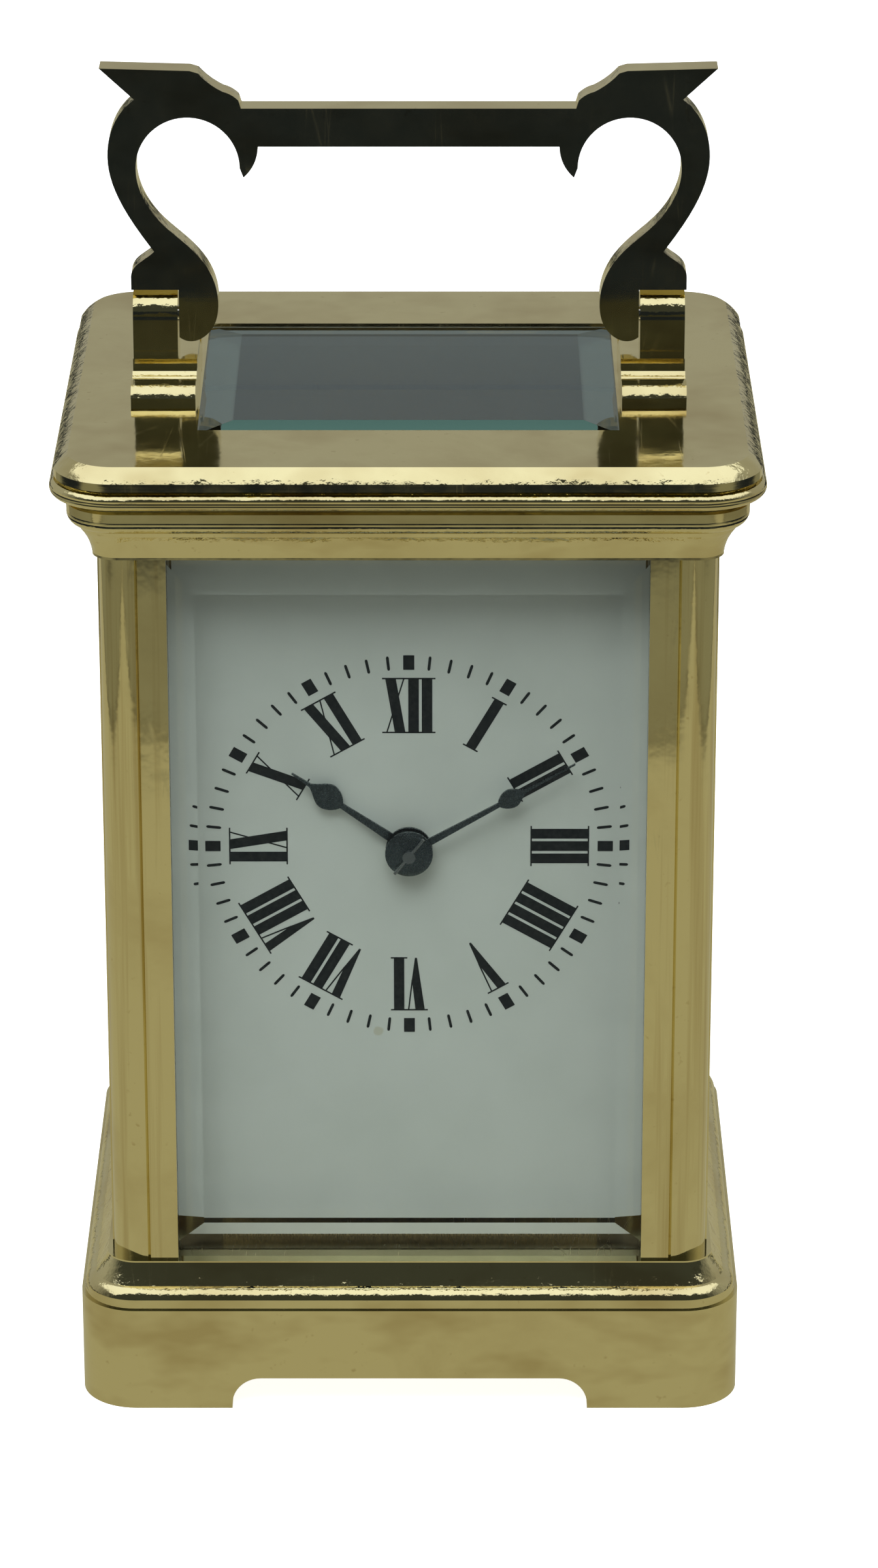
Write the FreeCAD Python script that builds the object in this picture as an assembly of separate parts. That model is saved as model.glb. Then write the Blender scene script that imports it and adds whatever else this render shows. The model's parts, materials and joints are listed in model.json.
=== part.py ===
"""Carriage clock with a corniche case, an upright folding handle and a lever platform movement.

Sizes are in millimetres. +Z is up, the front (dial side) faces -Y and the origin is under the
middle of the base. Each function below makes one piece of the clock as its own solid. Clock
angles are measured clockwise from twelve as seen from the front, which is from +Z towards +X.
"""

import math
import os

import FreeCAD
import Part


# ---------------------------------------------------------------- driving dimensions: the case
CORNICE_WIDTH = 86.0
CORNICE_DEPTH = 75.0
BASE_OVERHANG = 1.5  # how far the cornice bead stands out past the plinth
PILLAR_INSET = 5.4  # from the cornice bead to the pillars' outer faces
TOP_Z = 125.3
CORNICE_BOTTOM_Z = 112.6
FLOOR_Z = 19.0
FIT = 0.05  # radial clearance of a running fit
GAP = 0.1  # clearance of a piece that is dropped in

HALF_X = CORNICE_WIDTH / 2
HALF_Y = CORNICE_DEPTH / 2
BASE_X = HALF_X - BASE_OVERHANG
BASE_Y = HALF_Y - BASE_OVERHANG
PILLAR_X = HALF_X - PILLAR_INSET
PILLAR_Y = HALF_Y - PILLAR_INSET

# the corner pillars
PILLAR_SIDE = 8.5
PILLAR_CORNER = 4.7  # radius of the rounded outer corner
STRIP_PROUD = 0.2  # the flat strips stand this far past the rounded corner
PILLAR_MID_X = PILLAR_X - PILLAR_SIDE / 2
PILLAR_MID_Y = PILLAR_Y - PILLAR_SIDE / 2
OPENING_X = PILLAR_X - PILLAR_SIDE  # half of the clear width between pillars
OPENING_Y = PILLAR_Y - PILLAR_SIDE
TENON_RADIUS = 2.0
TENON_HEIGHT = 3.0

# the glass panes
PANE_THICKNESS = 3.0
PANE_SETBACK = 0.7  # from the pillars' outer face to the pane's flat outer face
PANE_GRIP = 1.4  # how far a pane reaches into the pillars
PANE_BEVEL = 4.7  # width of the ground bevel, from the pane's edge
PANE_BEVEL_DROP = 2.2
PANE_EDGE = PANE_THICKNESS - PANE_BEVEL_DROP

# the top glass
TOP_OPENING_X = 25.5
TOP_OPENING_Y = 21.4
TOP_GLASS_GRIP = 1.5
TOP_GLASS_Z = 125.2
TOP_GLASS_THICKNESS = 2.8
TOP_GLASS_BEVEL = 5.6
TOP_GLASS_DROP = 0.48
PLATE_UNDER_Z = TOP_GLASS_Z - TOP_GLASS_THICKNESS  # underside of the cornice's top plate


# ---------------------------------------------------------------- driving dimensions: the handle
HANDLE_THICKNESS = 3.5
PIVOT_Z = 133.4
POST_INNER_X = 28.5
POST_OUTER_X = 34.0
FOOT_INNER_X = 26.1
POST_RADIUS = 3.0
PIVOT_RADIUS = 1.0
PIVOT_HEAD_RADIUS = 1.7
PIVOT_HEAD_X = 33.2  # the screw's head is sunk from here out to the post's outer face
HANDLE_NOTCH_Z = 136.9


# ---------------------------------------------------------------- driving dimensions: the door
DOOR_X = 29.0
DOOR_Y = 29.9  # plane in the middle of the door's thickness, which holds the hinge axis
DOOR_HALF = 2.1
DOOR_STILE = 6.4
DOOR_PIN_RADIUS = 0.8
DOOR_HINGE_X = DOOR_X - DOOR_HALF
DOOR_BOTTOM_Z = FLOOR_Z + 0.3
DOOR_TOP_Z = CORNICE_BOTTOM_Z - 0.3


# ---------------------------------------------------------------- driving dimensions: the movement
# The movement, its dial and its hands are drawn in a frame of their own, which lies this far behind
# and below the frame of the case.
MOVEMENT_SETBACK = 2.8
MOVEMENT_DROP = 1.1
SEAT_Z = FLOOR_Z + MOVEMENT_DROP  # the case's floor, in the movement's frame
FRONT_PLATE_Y = -18.5  # front face
BACK_PLATE_Y = 7.5  # front face
PLATE_THICKNESS = 2.0
PLATE_X = 24.0
PLATE_TOP_Z = 95.0
PLATE_GAP_Y = (FRONT_PLATE_Y + PLATE_THICKNESS, BACK_PLATE_Y)
DIAL_Y = -25.0  # front face of the dial
DIAL_THICKNESS = 1.6
CENTRE = (0.0, 72.8)  # x and z of the hands' axis
BARREL = (6.0, 39.5)
CONTRATE = (-7.0, 86.3)

# teeth and modules, wheel first and pinion second
GREAT = (84, 14, 0.40)
INTERMEDIATE = (60, 12, 0.40)
CENTRE_MESH = (64, 8, 0.33)
THIRD = (60, 8, 0.30)
CONTRATE_MESH = (60, 6, 0.23)
MINUTE = (36, 12, 0.30)
HOUR = (40, 10, 0.288)
RATCHET_TEETH = 24
ESCAPE_TEETH = 15

# the platform escapement, which lies flat on top of the plates
PLATFORM_THICKNESS = 2.0
PLATFORM_X = 17.0
PLATFORM_TOP = PLATE_TOP_Z + PLATFORM_THICKNESS
ESCAPE_AXIS = (CONTRATE[0], -4.5)  # x and y
ESCAPE_TIP = 3.75
PALLET_CIRCLE = 4.0
LEVER_AXIS = (ESCAPE_AXIS[0] + PALLET_CIRCLE / math.cos(math.pi / 6), ESCAPE_AXIS[1])
BALANCE_AXIS = (LEVER_AXIS[0] + 6.9, ESCAPE_AXIS[1])
BALANCE_RADIUS = 7.2

Z_AXIS = FreeCAD.Vector(0, 0, 1)
Y_AXIS = FreeCAD.Vector(0, 1, 0)
X_AXIS = FreeCAD.Vector(1, 0, 0)


# ---------------------------------------------------------------- shapes
def xz(y):
    """Places outline points in the upright plane at y, as (x, z)."""
    return lambda p: FreeCAD.Vector(p[0], y, p[1])


def yz(x):
    """Places outline points in the upright plane at x, as (y, z)."""
    return lambda p: FreeCAD.Vector(x, p[0], p[1])


def xy(z):
    """Places outline points in the level plane at z, as (x, y)."""
    return lambda p: FreeCAD.Vector(p[0], p[1], z)


def face(plane, start, *steps):
    """A flat face whose outline runs from start through steps and closes on itself.

    A step is a point to draw a line to, a pair (through, end) for an arc, or a list of points for
    a smooth curve.
    """
    edges = []
    here = start
    for step in [*steps, start]:
        if isinstance(step, list):
            curve = Part.BSplineCurve()
            curve.interpolate([plane(p) for p in [here, *step]])
            edges.append(curve.toShape())
            here = step[-1]
        elif isinstance(step[0], tuple):
            through, end = step
            edges.append(Part.Arc(plane(here), plane(through), plane(end)).toShape())
            here = end
        elif step != here:
            edges.append(Part.LineSegment(plane(here), plane(step)).toShape())
            here = step
    return Part.Face(Part.Wire(edges))


def slab(plane, depth, start, *steps):
    """A face pushed out by the vector depth."""
    return face(plane, start, *steps).extrude(depth)


def box(x0, x1, y0, y1, z0, z1):
    corner = FreeCAD.Vector(min(x0, x1), min(y0, y1), min(z0, z1))
    return Part.makeBox(abs(x1 - x0), abs(y1 - y0), abs(z1 - z0), corner)


def rod_x(y, z, x0, x1, radius):
    start = FreeCAD.Vector(min(x0, x1), y, z)
    return Part.makeCylinder(radius, abs(x1 - x0), start, X_AXIS)


def rod_y(centre, y0, y1, radius):
    start = FreeCAD.Vector(centre[0], min(y0, y1), centre[1])
    return Part.makeCylinder(radius, abs(y1 - y0), start, Y_AXIS)


def rod_z(centre, z0, z1, radius):
    start = FreeCAD.Vector(centre[0], centre[1], min(z0, z1))
    return Part.makeCylinder(radius, abs(z1 - z0), start, Z_AXIS)


def fused(*shapes):
    """One solid from pieces that overlap or share faces."""
    return shapes[0].multiFuse(list(shapes[1:])).removeSplitter()


def cut(shape, *tools):
    return shape.cut(Part.makeCompound(list(tools)))


def mirrored(shape, *normals):
    """The shape reflected through the origin plane of each normal in turn."""
    for normal in normals:
        shape = shape.mirror(FreeCAD.Vector(0, 0, 0), normal)
    return shape


def four_ways(shape):
    """The shape with its reflections left to right and front to back."""
    ways = [(), (X_AXIS,), (Y_AXIS,), (X_AXIS, Y_AXIS)]
    return [mirrored(shape, *way) for way in ways]


def polar(centre, radius, clock_angle):
    """The point at a clock angle from a centre."""
    x = centre[0] + radius * math.sin(clock_angle)
    z = centre[1] + radius * math.cos(clock_angle)
    return (x, z)


def bearing(start, end):
    """The clock angle from one point to another."""
    return math.atan2(end[0] - start[0], end[1] - start[1])


def meeting_point(a, b, from_a, from_b, side):
    """The point at given distances from a and b, on the right (1) or left (-1) of the way to b."""
    apart = math.dist(a, b)
    along = (from_a**2 - from_b**2 + apart**2) / (2 * apart)
    across = side * math.sqrt(from_a**2 - along**2)
    way = bearing(a, b)
    return polar(polar(a, along, way), across, way + math.pi / 2)


def moulded(half_x, half_y, corner, start, *steps):
    """A block with rounded corners whose sides all carry one moulding.

    The outline gives the moulding as (inset from the widest face, z), from its foot to its top.
    """

    def at(reach, side=1):
        def place(step):
            if isinstance(step, list) or isinstance(step[0], tuple):
                return tuple(place(p) for p in step)
            return (side * (reach - step[0]), step[1])

        return place

    def reversed_steps():
        points = [start, *steps]
        ends = [p if not isinstance(p[0], tuple) else p[1] for p in points]
        back = []
        for n in range(len(points) - 1, 0, -1):
            arc = isinstance(points[n][0], tuple)
            back.append((points[n][0], ends[n - 1]) if arc else ends[n - 1])
        return ends[-1], back

    top, back = reversed_steps()

    def across(plane, reach, length):
        right, left = at(reach), at(reach, -1)
        outline = [right(s) for s in steps] + [left(top)] + [left(s) for s in back]
        return face(plane, right(start), *outline).extrude(length)

    long_x = across(yz(corner - half_x), half_y, X_AXIS * 2 * (half_x - corner))
    long_y = across(xz(corner - half_y), half_x, Y_AXIS * 2 * (half_y - corner))
    place = at(corner)
    section = face(xz(0), (0, start[1]), place(start), *[place(s) for s in steps], (0, top[1]))
    turned = section.revolve(FreeCAD.Vector(0, 0, 0), Z_AXIS, 360)
    turned.translate(FreeCAD.Vector(half_x - corner, half_y - corner, 0))
    return fused(long_x, long_y, *four_ways(turned))


def spiral(centre, plane, depth, inner, outer, turns, thickness):
    """A strip wound from inner to outer radius, drawn as half circles that grow by turns."""
    growth = (outer - inner - thickness) / (2 * turns)

    def half_circles(start):
        ends = [start + growth * n for n in range(2 * turns + 1)]
        points = [(centre[0] + (-1) ** n * r, centre[1]) for n, r in enumerate(ends)]
        arcs = []
        for n in range(2 * turns):
            middle = (points[n][0] + points[n + 1][0]) / 2
            lift = (-1) ** n * (ends[n] + ends[n + 1]) / 2
            arcs.append(((middle, centre[1] + lift), points[n + 1]))
        return points, arcs

    inside, inner_arcs = half_circles(inner)
    outside, outer_arcs = half_circles(inner + thickness)
    homeward = [
        (outer_arcs[n][0], outside[n]) for n in range(len(outer_arcs) - 1, -1, -1)
    ]
    return slab(plane, depth, inside[0], *inner_arcs, outside[-1], *homeward)


def screw(plane_point, axis, head_radius, head_height, shank_radius, shank_length):
    """A slotted cheese-head screw. axis points from the head along the shank."""
    slot_width = head_radius / 3
    slot_depth = head_height / 2
    point = FreeCAD.Vector(*plane_point)
    head = Part.makeCylinder(head_radius, head_height, point - axis * head_height, axis)
    shank = Part.makeCylinder(shank_radius, shank_length, point, axis)
    slot = Part.makeBox(slot_width, 4 * head_radius, slot_depth)
    slot.translate(FreeCAD.Vector(-slot_width / 2, -2 * head_radius, 0))
    slot.Placement = FreeCAD.Placement(
        point - axis * head_height, FreeCAD.Rotation(Z_AXIS, axis)
    ).multiply(slot.Placement)
    return cut(fused(head, shank), slot)


# ---------------------------------------------------------------- teeth
PRESSURE_ANGLE = math.radians(25)
BACKLASH = 0.11  # of the module, taken off each flank


def involute(angle):
    return math.tan(angle) - angle


def tooth_points(teeth, module, addendum, dedendum):
    """One tooth as (radius, angle from its middle): root, base, pitch and tip, then back."""
    pitch = teeth * module / 2
    base = pitch * math.cos(PRESSURE_ANGLE)
    half = math.pi / (2 * teeth) - BACKLASH * module / pitch

    def half_angle(radius):
        slope = math.acos(min(1.0, base / radius))
        return half + involute(PRESSURE_ANGLE) - involute(slope)

    root = pitch - dedendum * module
    tip = pitch + addendum * module
    foot = max(root + 0.05 * module, base)
    rising = [(root, half_angle(foot)), (foot, half_angle(foot)), (pitch, half)]
    rising.append((tip, half_angle(tip)))
    return [(r, -a) for r, a in rising] + [(r, a) for r, a in reversed(rising)]


def toothed(plane, depth, centre, teeth, module, tooth_at, pinion=False):
    """A gear blank with its teeth. A tooth stands at the clock angle tooth_at."""
    addendum, dedendum = (0.75, 1.1) if pinion else (0.7, 1.0)
    tooth = tooth_points(teeth, module, addendum, dedendum)
    pitch_angle = 2 * math.pi / teeth
    points = [
        polar(centre, radius, tooth_at + n * pitch_angle + angle)
        for n in range(teeth)
        for radius, angle in tooth
    ]
    return slab(plane, depth, points[0], *points[1:])


def wheel(centre, partner, mesh, y0, y1, spokes=4):
    """The wheel of a mesh, with one tooth pointing at its partner and crossed out with spokes."""
    teeth, _, module = mesh
    blank = toothed(xz(y0), Y_AXIS * (y1 - y0), centre, teeth, module, bearing(centre, partner))
    rim = teeth * module / 2 - 4 * module
    return cut(blank, *crossings(centre, y0, y1, spokes, 3.0, rim, 1.3))


def crossings(centre, y0, y1, spokes, hub, rim, spoke_width):
    """The openings that leave spokes in a wheel: a ring cut by straight spokes."""
    ring = rod_y(centre, y0, y1, rim).cut(rod_y(centre, y0, y1, hub))
    bars = []
    for n in range(spokes):
        bar = box(-spoke_width / 2, spoke_width / 2, y0, y1, 0, rim + 1)
        bar.rotate(FreeCAD.Vector(0, 0, 0), Y_AXIS, 360 / spokes * (n + 0.5))
        bar.translate(FreeCAD.Vector(centre[0], 0, centre[1]))
        bars.append(bar)
    return cut(ring, *bars).Solids


def pinion(centre, partner, mesh, y0, y1):
    """The pinion of a mesh, with a space between teeth facing its partner."""
    _, teeth, module = mesh
    space_at = bearing(centre, partner) + math.pi / teeth
    return toothed(xz(y0), Y_AXIS * (y1 - y0), centre, teeth, module, space_at, pinion=True)


def distance(mesh):
    """Centre distance of a mesh."""
    return (mesh[0] + mesh[1]) * mesh[2] / 2


INTERMEDIATE_AT = meeting_point(BARREL, CENTRE, distance(GREAT), distance(INTERMEDIATE), -1)
THIRD_AT = meeting_point(CENTRE, CONTRATE, distance(CENTRE_MESH), distance(THIRD), 1)
MINUTE_AT = polar(CENTRE, distance(MINUTE), math.radians(200))


# ---------------------------------------------------------------- the case
PLATE_MIDDLE_Y = sum(PLATE_GAP_Y) / 2
PLATE_PILLAR_X = 19.8
CASE_SCREWS_AT = [
    (sx * PILLAR_MID_X, sy * PILLAR_MID_Y) for sx in (-1, 1) for sy in (-1, 1)
] + [(sx * PLATE_PILLAR_X, PLATE_MIDDLE_Y + MOVEMENT_SETBACK) for sx in (-1, 1)]
SCREW_SHANK = 1.3


def base():
    """The hollow moulded base. Its lower edge is cut away between four corner feet."""
    roll = ((0.73, 15.42), (1.85, 16.25))
    cove = ((2.69, 17.48), (3.4, 18.8))
    shell = moulded(
        BASE_X,
        BASE_Y,
        7.0,
        (0, 0),
        (0, 13.7),
        (0.35, 13.7),
        (0.35, 14.1),
        roll,
        cove,
        (3.4, FLOOR_Z),
    )
    wall = 3.0
    hollow_top = 14.5
    hollow = box(wall - BASE_X, BASE_X - wall, wall - BASE_Y, BASE_Y - wall, 0, hollow_top)
    hollow = hollow.makeFillet(4.0, [e for e in hollow.Edges if is_upright(e)])
    holes = [rod_z(at, hollow_top, FLOOR_Z, SCREW_SHANK + FIT) for at in CASE_SCREWS_AT]
    pin = rod_z((DOOR_HINGE_X, DOOR_Y), FLOOR_Z - 2.0, FLOOR_Z, DOOR_PIN_RADIUS + FIT)
    front_gap = foot_gap(xz(-BASE_Y - 1), 22.4, Y_AXIS * (2 * BASE_Y + 2))
    side_gap = foot_gap(yz(-BASE_X - 1), 17.0, X_AXIS * (2 * BASE_X + 2))
    return cut(shell, hollow, front_gap, side_gap, pin, *holes)


def is_upright(edge):
    low, high = edge.BoundBox.ZMin, edge.BoundBox.ZMax
    flat = edge.BoundBox.XLength < 1e-3 and edge.BoundBox.YLength < 1e-3
    return flat and high - low > 1


def foot_gap(plane, half_width, depth):
    """The cut under one pair of sides: straight on top, turning down to the feet by a quarter round."""
    height = 4.2
    bend = 3.6
    diagonal = bend * (1 - math.sqrt(0.5))
    right = ((half_width - diagonal, height - bend + bend * math.sqrt(0.5)), (half_width - bend, height))
    left = ((diagonal - half_width, height - bend + bend * math.sqrt(0.5)), (-half_width, height - bend))
    outline = [(half_width, height - bend), right, (bend - half_width, height), left, (-half_width, -1)]
    return slab(plane, depth, (half_width, -1), *outline)


SCREW_HEAD = 2.4
SCREW_LENGTH = 11.0
BASE_SCREW_TOP = 14.5  # the screws' heads bear on the ceiling of the hollow base
LOW_PILLAR_Z = SEAT_Z + 3.9
HIGH_PILLAR_Z = 89.0


def case_screws():
    """Screws from inside the base: one up each corner pillar and two into the movement."""
    screws = []
    for x, y in CASE_SCREWS_AT:
        in_pillar = abs(x) > PLATE_X
        length = SCREW_LENGTH if in_pillar else LOW_PILLAR_Z + 1.0 - MOVEMENT_DROP - BASE_SCREW_TOP
        screws.append(screw((x, y, BASE_SCREW_TOP), Z_AXIS, SCREW_HEAD, 1.6, SCREW_SHANK, length))
    return screws


def pillar():
    """The front left corner pillar: a rounded corner between two flat strips, with pane grooves."""
    edge = PILLAR_X - PILLAR_CORNER
    edge_y = PILLAR_Y - PILLAR_CORNER
    bow = PILLAR_CORNER * math.sqrt(0.5)
    groove = 0.35
    inner_x, inner_y = OPENING_X, OPENING_Y
    section = slab(
        xy(FLOOR_Z),
        Z_AXIS * (CORNICE_BOTTOM_Z - FLOOR_Z),
        (-inner_x, -inner_y),
        (-inner_x, -PILLAR_Y),
        (-edge + groove, -PILLAR_Y),
        (-edge + groove / 2, -PILLAR_Y + STRIP_PROUD + groove / 2),
        (-edge, -PILLAR_Y + STRIP_PROUD),
        (
            (-edge - bow + STRIP_PROUD, -edge_y - bow + STRIP_PROUD),
            (-PILLAR_X + STRIP_PROUD, -edge_y),
        ),
        (-PILLAR_X + STRIP_PROUD + groove / 2, -edge_y + groove / 2),
        (-PILLAR_X, -edge_y + groove),
        (-PILLAR_X, -inner_y),
    )
    tenon = rod_z((-PILLAR_MID_X, -PILLAR_MID_Y), CORNICE_BOTTOM_Z, CORNICE_BOTTOM_Z + TENON_HEIGHT,
                  TENON_RADIUS)
    hole_top = BASE_SCREW_TOP + SCREW_LENGTH + 1.0
    hole = rod_z((-PILLAR_MID_X, -PILLAR_MID_Y), FLOOR_Z, hole_top, SCREW_SHANK)
    return cut(fused(section, tenon), hole, *pane_grooves())


def pane_grooves():
    """The grooves of the front left pillar that the front and left panes stand in."""
    grip = PANE_GRIP + GAP
    width = PANE_EDGE + PANE_GRIP * PANE_BEVEL_DROP / PANE_BEVEL + FIT
    front_y = -(PILLAR_Y - PANE_SETBACK - PANE_THICKNESS) + FIT
    side_x = -(PILLAR_X - PANE_SETBACK - PANE_THICKNESS) + FIT
    front = box(-OPENING_X - grip, -OPENING_X, front_y - width, front_y, FLOOR_Z, CORNICE_BOTTOM_Z)
    side = box(side_x - width, side_x, -OPENING_Y - grip, -OPENING_Y, FLOOR_Z, CORNICE_BOTTOM_Z)
    return front, side


def rear_pillar():
    """The rear left pillar: the front one turned about, without a groove towards the door."""
    groove = pane_grooves()[0]
    turned = fused(pillar(), groove)
    return mirrored(turned, Y_AXIS)


BRACKET_SCREWS_AT = [(sx * 31.2, sy * 6.4) for sx in (-1, 1) for sy in (-1, 1)]
CLIP_SCREW = 2.0
CLIP_SCREWS_AT = [(sx * 29.0, sy * 15.0) for sx in (-1, 1) for sy in (-1, 1)]


def cornice():
    """The moulded top of the case, with the window for the top glass and sockets for the pillars."""
    cove = ((4.5, 114.6), (3.6, 116.0))
    ovolo = ((2.3, 117.2), (2.0, 118.3))
    bead = ((0.0, 121.3), (1.0, 122.3))
    shoulder = ((1.36, 124.6), (2.3, TOP_Z))
    shell = moulded(
        HALF_X,
        HALF_Y,
        8.0,
        (5.0, CORNICE_BOTTOM_Z),
        (5.0, 112.9),
        cove,
        (3.3, 116.6),
        ovolo,
        (1.95, 119.4),
        (2.7, 119.5),
        (2.7, 120.1),
        (1.0, 120.3),
        bead,
        (1.3, 122.5),
        (0.6, 122.7),
        (0.6, 123.7),
        shoulder,
    )
    hollow = [
        box(-OPENING_X + 0.6, OPENING_X - 0.6, -28.8, 28.8, CORNICE_BOTTOM_Z, PLATE_UNDER_Z),
        box(-34.2, 34.2, -OPENING_Y + 0.6, OPENING_Y - 0.6, CORNICE_BOTTOM_Z, PLATE_UNDER_Z),
    ]
    edge_z = TOP_GLASS_Z - TOP_GLASS_DROP * 0.75
    seat_x = TOP_OPENING_X + TOP_GLASS_GRIP
    seat_y = TOP_OPENING_Y + TOP_GLASS_GRIP
    seat = box(-seat_x, seat_x, -seat_y, seat_y, PLATE_UNDER_Z, edge_z)
    window = box(-TOP_OPENING_X, TOP_OPENING_X, -TOP_OPENING_Y, TOP_OPENING_Y, PLATE_UNDER_Z, TOP_Z)
    sockets = [
        rod_z((sx * PILLAR_MID_X, sy * PILLAR_MID_Y), CORNICE_BOTTOM_Z,
              CORNICE_BOTTOM_Z + TENON_HEIGHT + GAP, TENON_RADIUS)
        for sx in (-1, 1)
        for sy in (-1, 1)
    ]
    screws = [rod_z((x, y), PLATE_UNDER_Z, TOP_Z, 1.0 + FIT) for x, y in BRACKET_SCREWS_AT]
    clips = [rod_z(at, PLATE_UNDER_Z, PLATE_UNDER_Z + CLIP_SCREW, 0.7) for at in CLIP_SCREWS_AT]
    pin = rod_z((DOOR_HINGE_X, DOOR_Y), CORNICE_BOTTOM_Z, CORNICE_BOTTOM_Z + 2.0,
                DOOR_PIN_RADIUS + FIT)
    return cut(shell, *hollow, seat, window, pin, *sockets, *screws, *clips)


def pane(half_width, half_height, thickness, bevel, drop):
    """A bevelled pane lying flat, its flat back at z = 0 and its bevelled face upwards."""
    edge = thickness - drop
    body = box(-half_width, half_width, -half_height, half_height, 0, edge)
    rims = []
    for inset, z in ((0, edge), (bevel, thickness)):
        x, y = half_width - inset, half_height - inset
        corners = [FreeCAD.Vector(sx * x, sy * y, z) for sx, sy in ((-1, -1), (1, -1), (1, 1), (-1, 1))]
        rims.append(Part.makePolygon([*corners, corners[0]]))
    return fused(body, Part.makeLoft(rims, True, True))


def upright_pane(half_width, outer, turn):
    """A pane standing between base and cornice, turned to face outwards."""
    low, high = FLOOR_Z + GAP, CORNICE_BOTTOM_Z - GAP
    made = pane(half_width, (high - low) / 2, PANE_THICKNESS, PANE_BEVEL, PANE_BEVEL_DROP)
    made.rotate(FreeCAD.Vector(0, 0, 0), X_AXIS, 90)
    made.translate(FreeCAD.Vector(0, -(outer - PANE_SETBACK - PANE_THICKNESS), (low + high) / 2))
    made.rotate(FreeCAD.Vector(0, 0, 0), Z_AXIS, turn)
    return made


def front_glass():
    return upright_pane(OPENING_X + PANE_GRIP, PILLAR_Y, 0)


def left_glass():
    return upright_pane(OPENING_Y + PANE_GRIP, PILLAR_X, -90)


def top_glass():
    made = pane(
        TOP_OPENING_X + TOP_GLASS_GRIP - GAP,
        TOP_OPENING_Y + TOP_GLASS_GRIP - GAP,
        TOP_GLASS_THICKNESS,
        TOP_GLASS_BEVEL,
        TOP_GLASS_DROP,
    )
    made.translate(FreeCAD.Vector(0, 0, PLATE_UNDER_Z))
    return made


CLIP_THICKNESS = 0.6


def top_glass_clips():
    """Four small plates screwed under the cornice that hold the top glass up in its seat."""
    inner = TOP_OPENING_X + 0.3
    z = PLATE_UNDER_Z - CLIP_THICKNESS
    clip = box(inner, 31.0, 13.0, 17.0, z, PLATE_UNDER_Z)
    clip = cut(clip, rod_z(CLIP_SCREWS_AT[-1], z, PLATE_UNDER_Z, 0.7 + FIT))
    return four_ways(clip)


# ---------------------------------------------------------------- the handle
BRACKET_SCREW_TOP = 126.9


def bracket():
    """The right handle bracket: a stepped foot and a round-topped post."""
    foot = moulded_bar(
        FOOT_INNER_X,
        POST_OUTER_X,
        (11.2, TOP_Z),
        (11.2, 126.0),
        (11.7, 126.1),
        ((10.7, 127.2), (8.5, 127.6)),
        (8.5, 127.2),
        ((6.9, 127.2), (6.0, 127.8)),
        (4.5, 127.8),
        (4.5, 128.9),
    )
    post = moulded_bar(POST_INNER_X, POST_OUTER_X, (POST_RADIUS, TOP_Z), (POST_RADIUS, PIVOT_Z))
    top = rod_x(0, PIVOT_Z, POST_INNER_X, POST_OUTER_X, POST_RADIUS)
    pivot = rod_x(0, PIVOT_Z, POST_INNER_X, POST_OUTER_X, PIVOT_RADIUS + FIT)
    head = rod_x(0, PIVOT_Z, PIVOT_HEAD_X - FIT, POST_OUTER_X, PIVOT_HEAD_RADIUS + FIT)
    screws = [rod_z((31.2, y), TOP_Z, BRACKET_SCREW_TOP, 1.0) for y in (-6.4, 6.4)]
    return cut(fused(foot, post, top), pivot, head, *screws)


def moulded_bar(x0, x1, start, *steps):
    """A bar along X whose front and back carry the same moulding, given as (y, z)."""
    half = face(yz(x0), (0, start[1]), start, *steps, (0, steps[-1][1]))
    half = half.extrude(X_AXIS * (x1 - x0))
    return fused(half, mirrored(half, Y_AXIS))


def bracket_screws():
    """Screws through the cornice's top plate into the brackets' feet."""
    length = BRACKET_SCREW_TOP - PLATE_UNDER_Z
    return [
        screw((x, y, PLATE_UNDER_Z), Z_AXIS, 1.8, 1.0, 1.0, length) for x, y in BRACKET_SCREWS_AT
    ]


PIVOT_END_X = 24.9
PIVOT_THREAD = 0.8


def handle():
    """The flat handle: a bar between two scrolls with horns, hooks and round lower lobes."""
    bar_top = 159.9
    bar_bottom = 155.1
    eye = (27.0, 152.4)  # middle of the round opening in the scroll
    eye_radius = 6.35
    step = POST_INNER_X - 0.15
    half = slab(
        xz(-HANDLE_THICKNESS / 2),
        Y_AXIS * HANDLE_THICKNESS,
        (0, bar_top),
        (20.4, bar_top),
        (20.7, 160.9),
        ((21.6, 161.6), (22.6, 162.0)),
        ((24.2, 163.0), (25.6, 164.3)),
        (26.6, 164.6),
        (37.6, 164.9),
        (33.4, 161.0),
        [(36.1, 157.5), (36.75, 153.0), (35.2, 147.9), (31.3, 141.8)],
        [(32.4, 140.9), (33.8, 139.7), (34.2, 138.6)],
        (34.2, HANDLE_NOTCH_Z),
        (step, HANDLE_NOTCH_Z),
        (step, 130.8),
        [(26.6, 130.3), (24.6, 131.5), (23.5, 135.4), (24.6, 139.4), (27.2, 142.6), (30.3, 145.4),
         (32.6, 148.8), (eye[0] + eye_radius, eye[1])],
        ((eye[0], eye[1] + eye_radius), (eye[0] - eye_radius, eye[1])),
        (20.2, 151.2),
        [(18.9, 152.9), (18.4, bar_bottom)],
        (0, bar_bottom),
    )
    whole = fused(half, mirrored(half, X_AXIS))
    thread = [rod_x(0, PIVOT_Z, side * PIVOT_END_X, side * step, PIVOT_THREAD) for side in (-1, 1)]
    return cut(whole, *thread)


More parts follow.
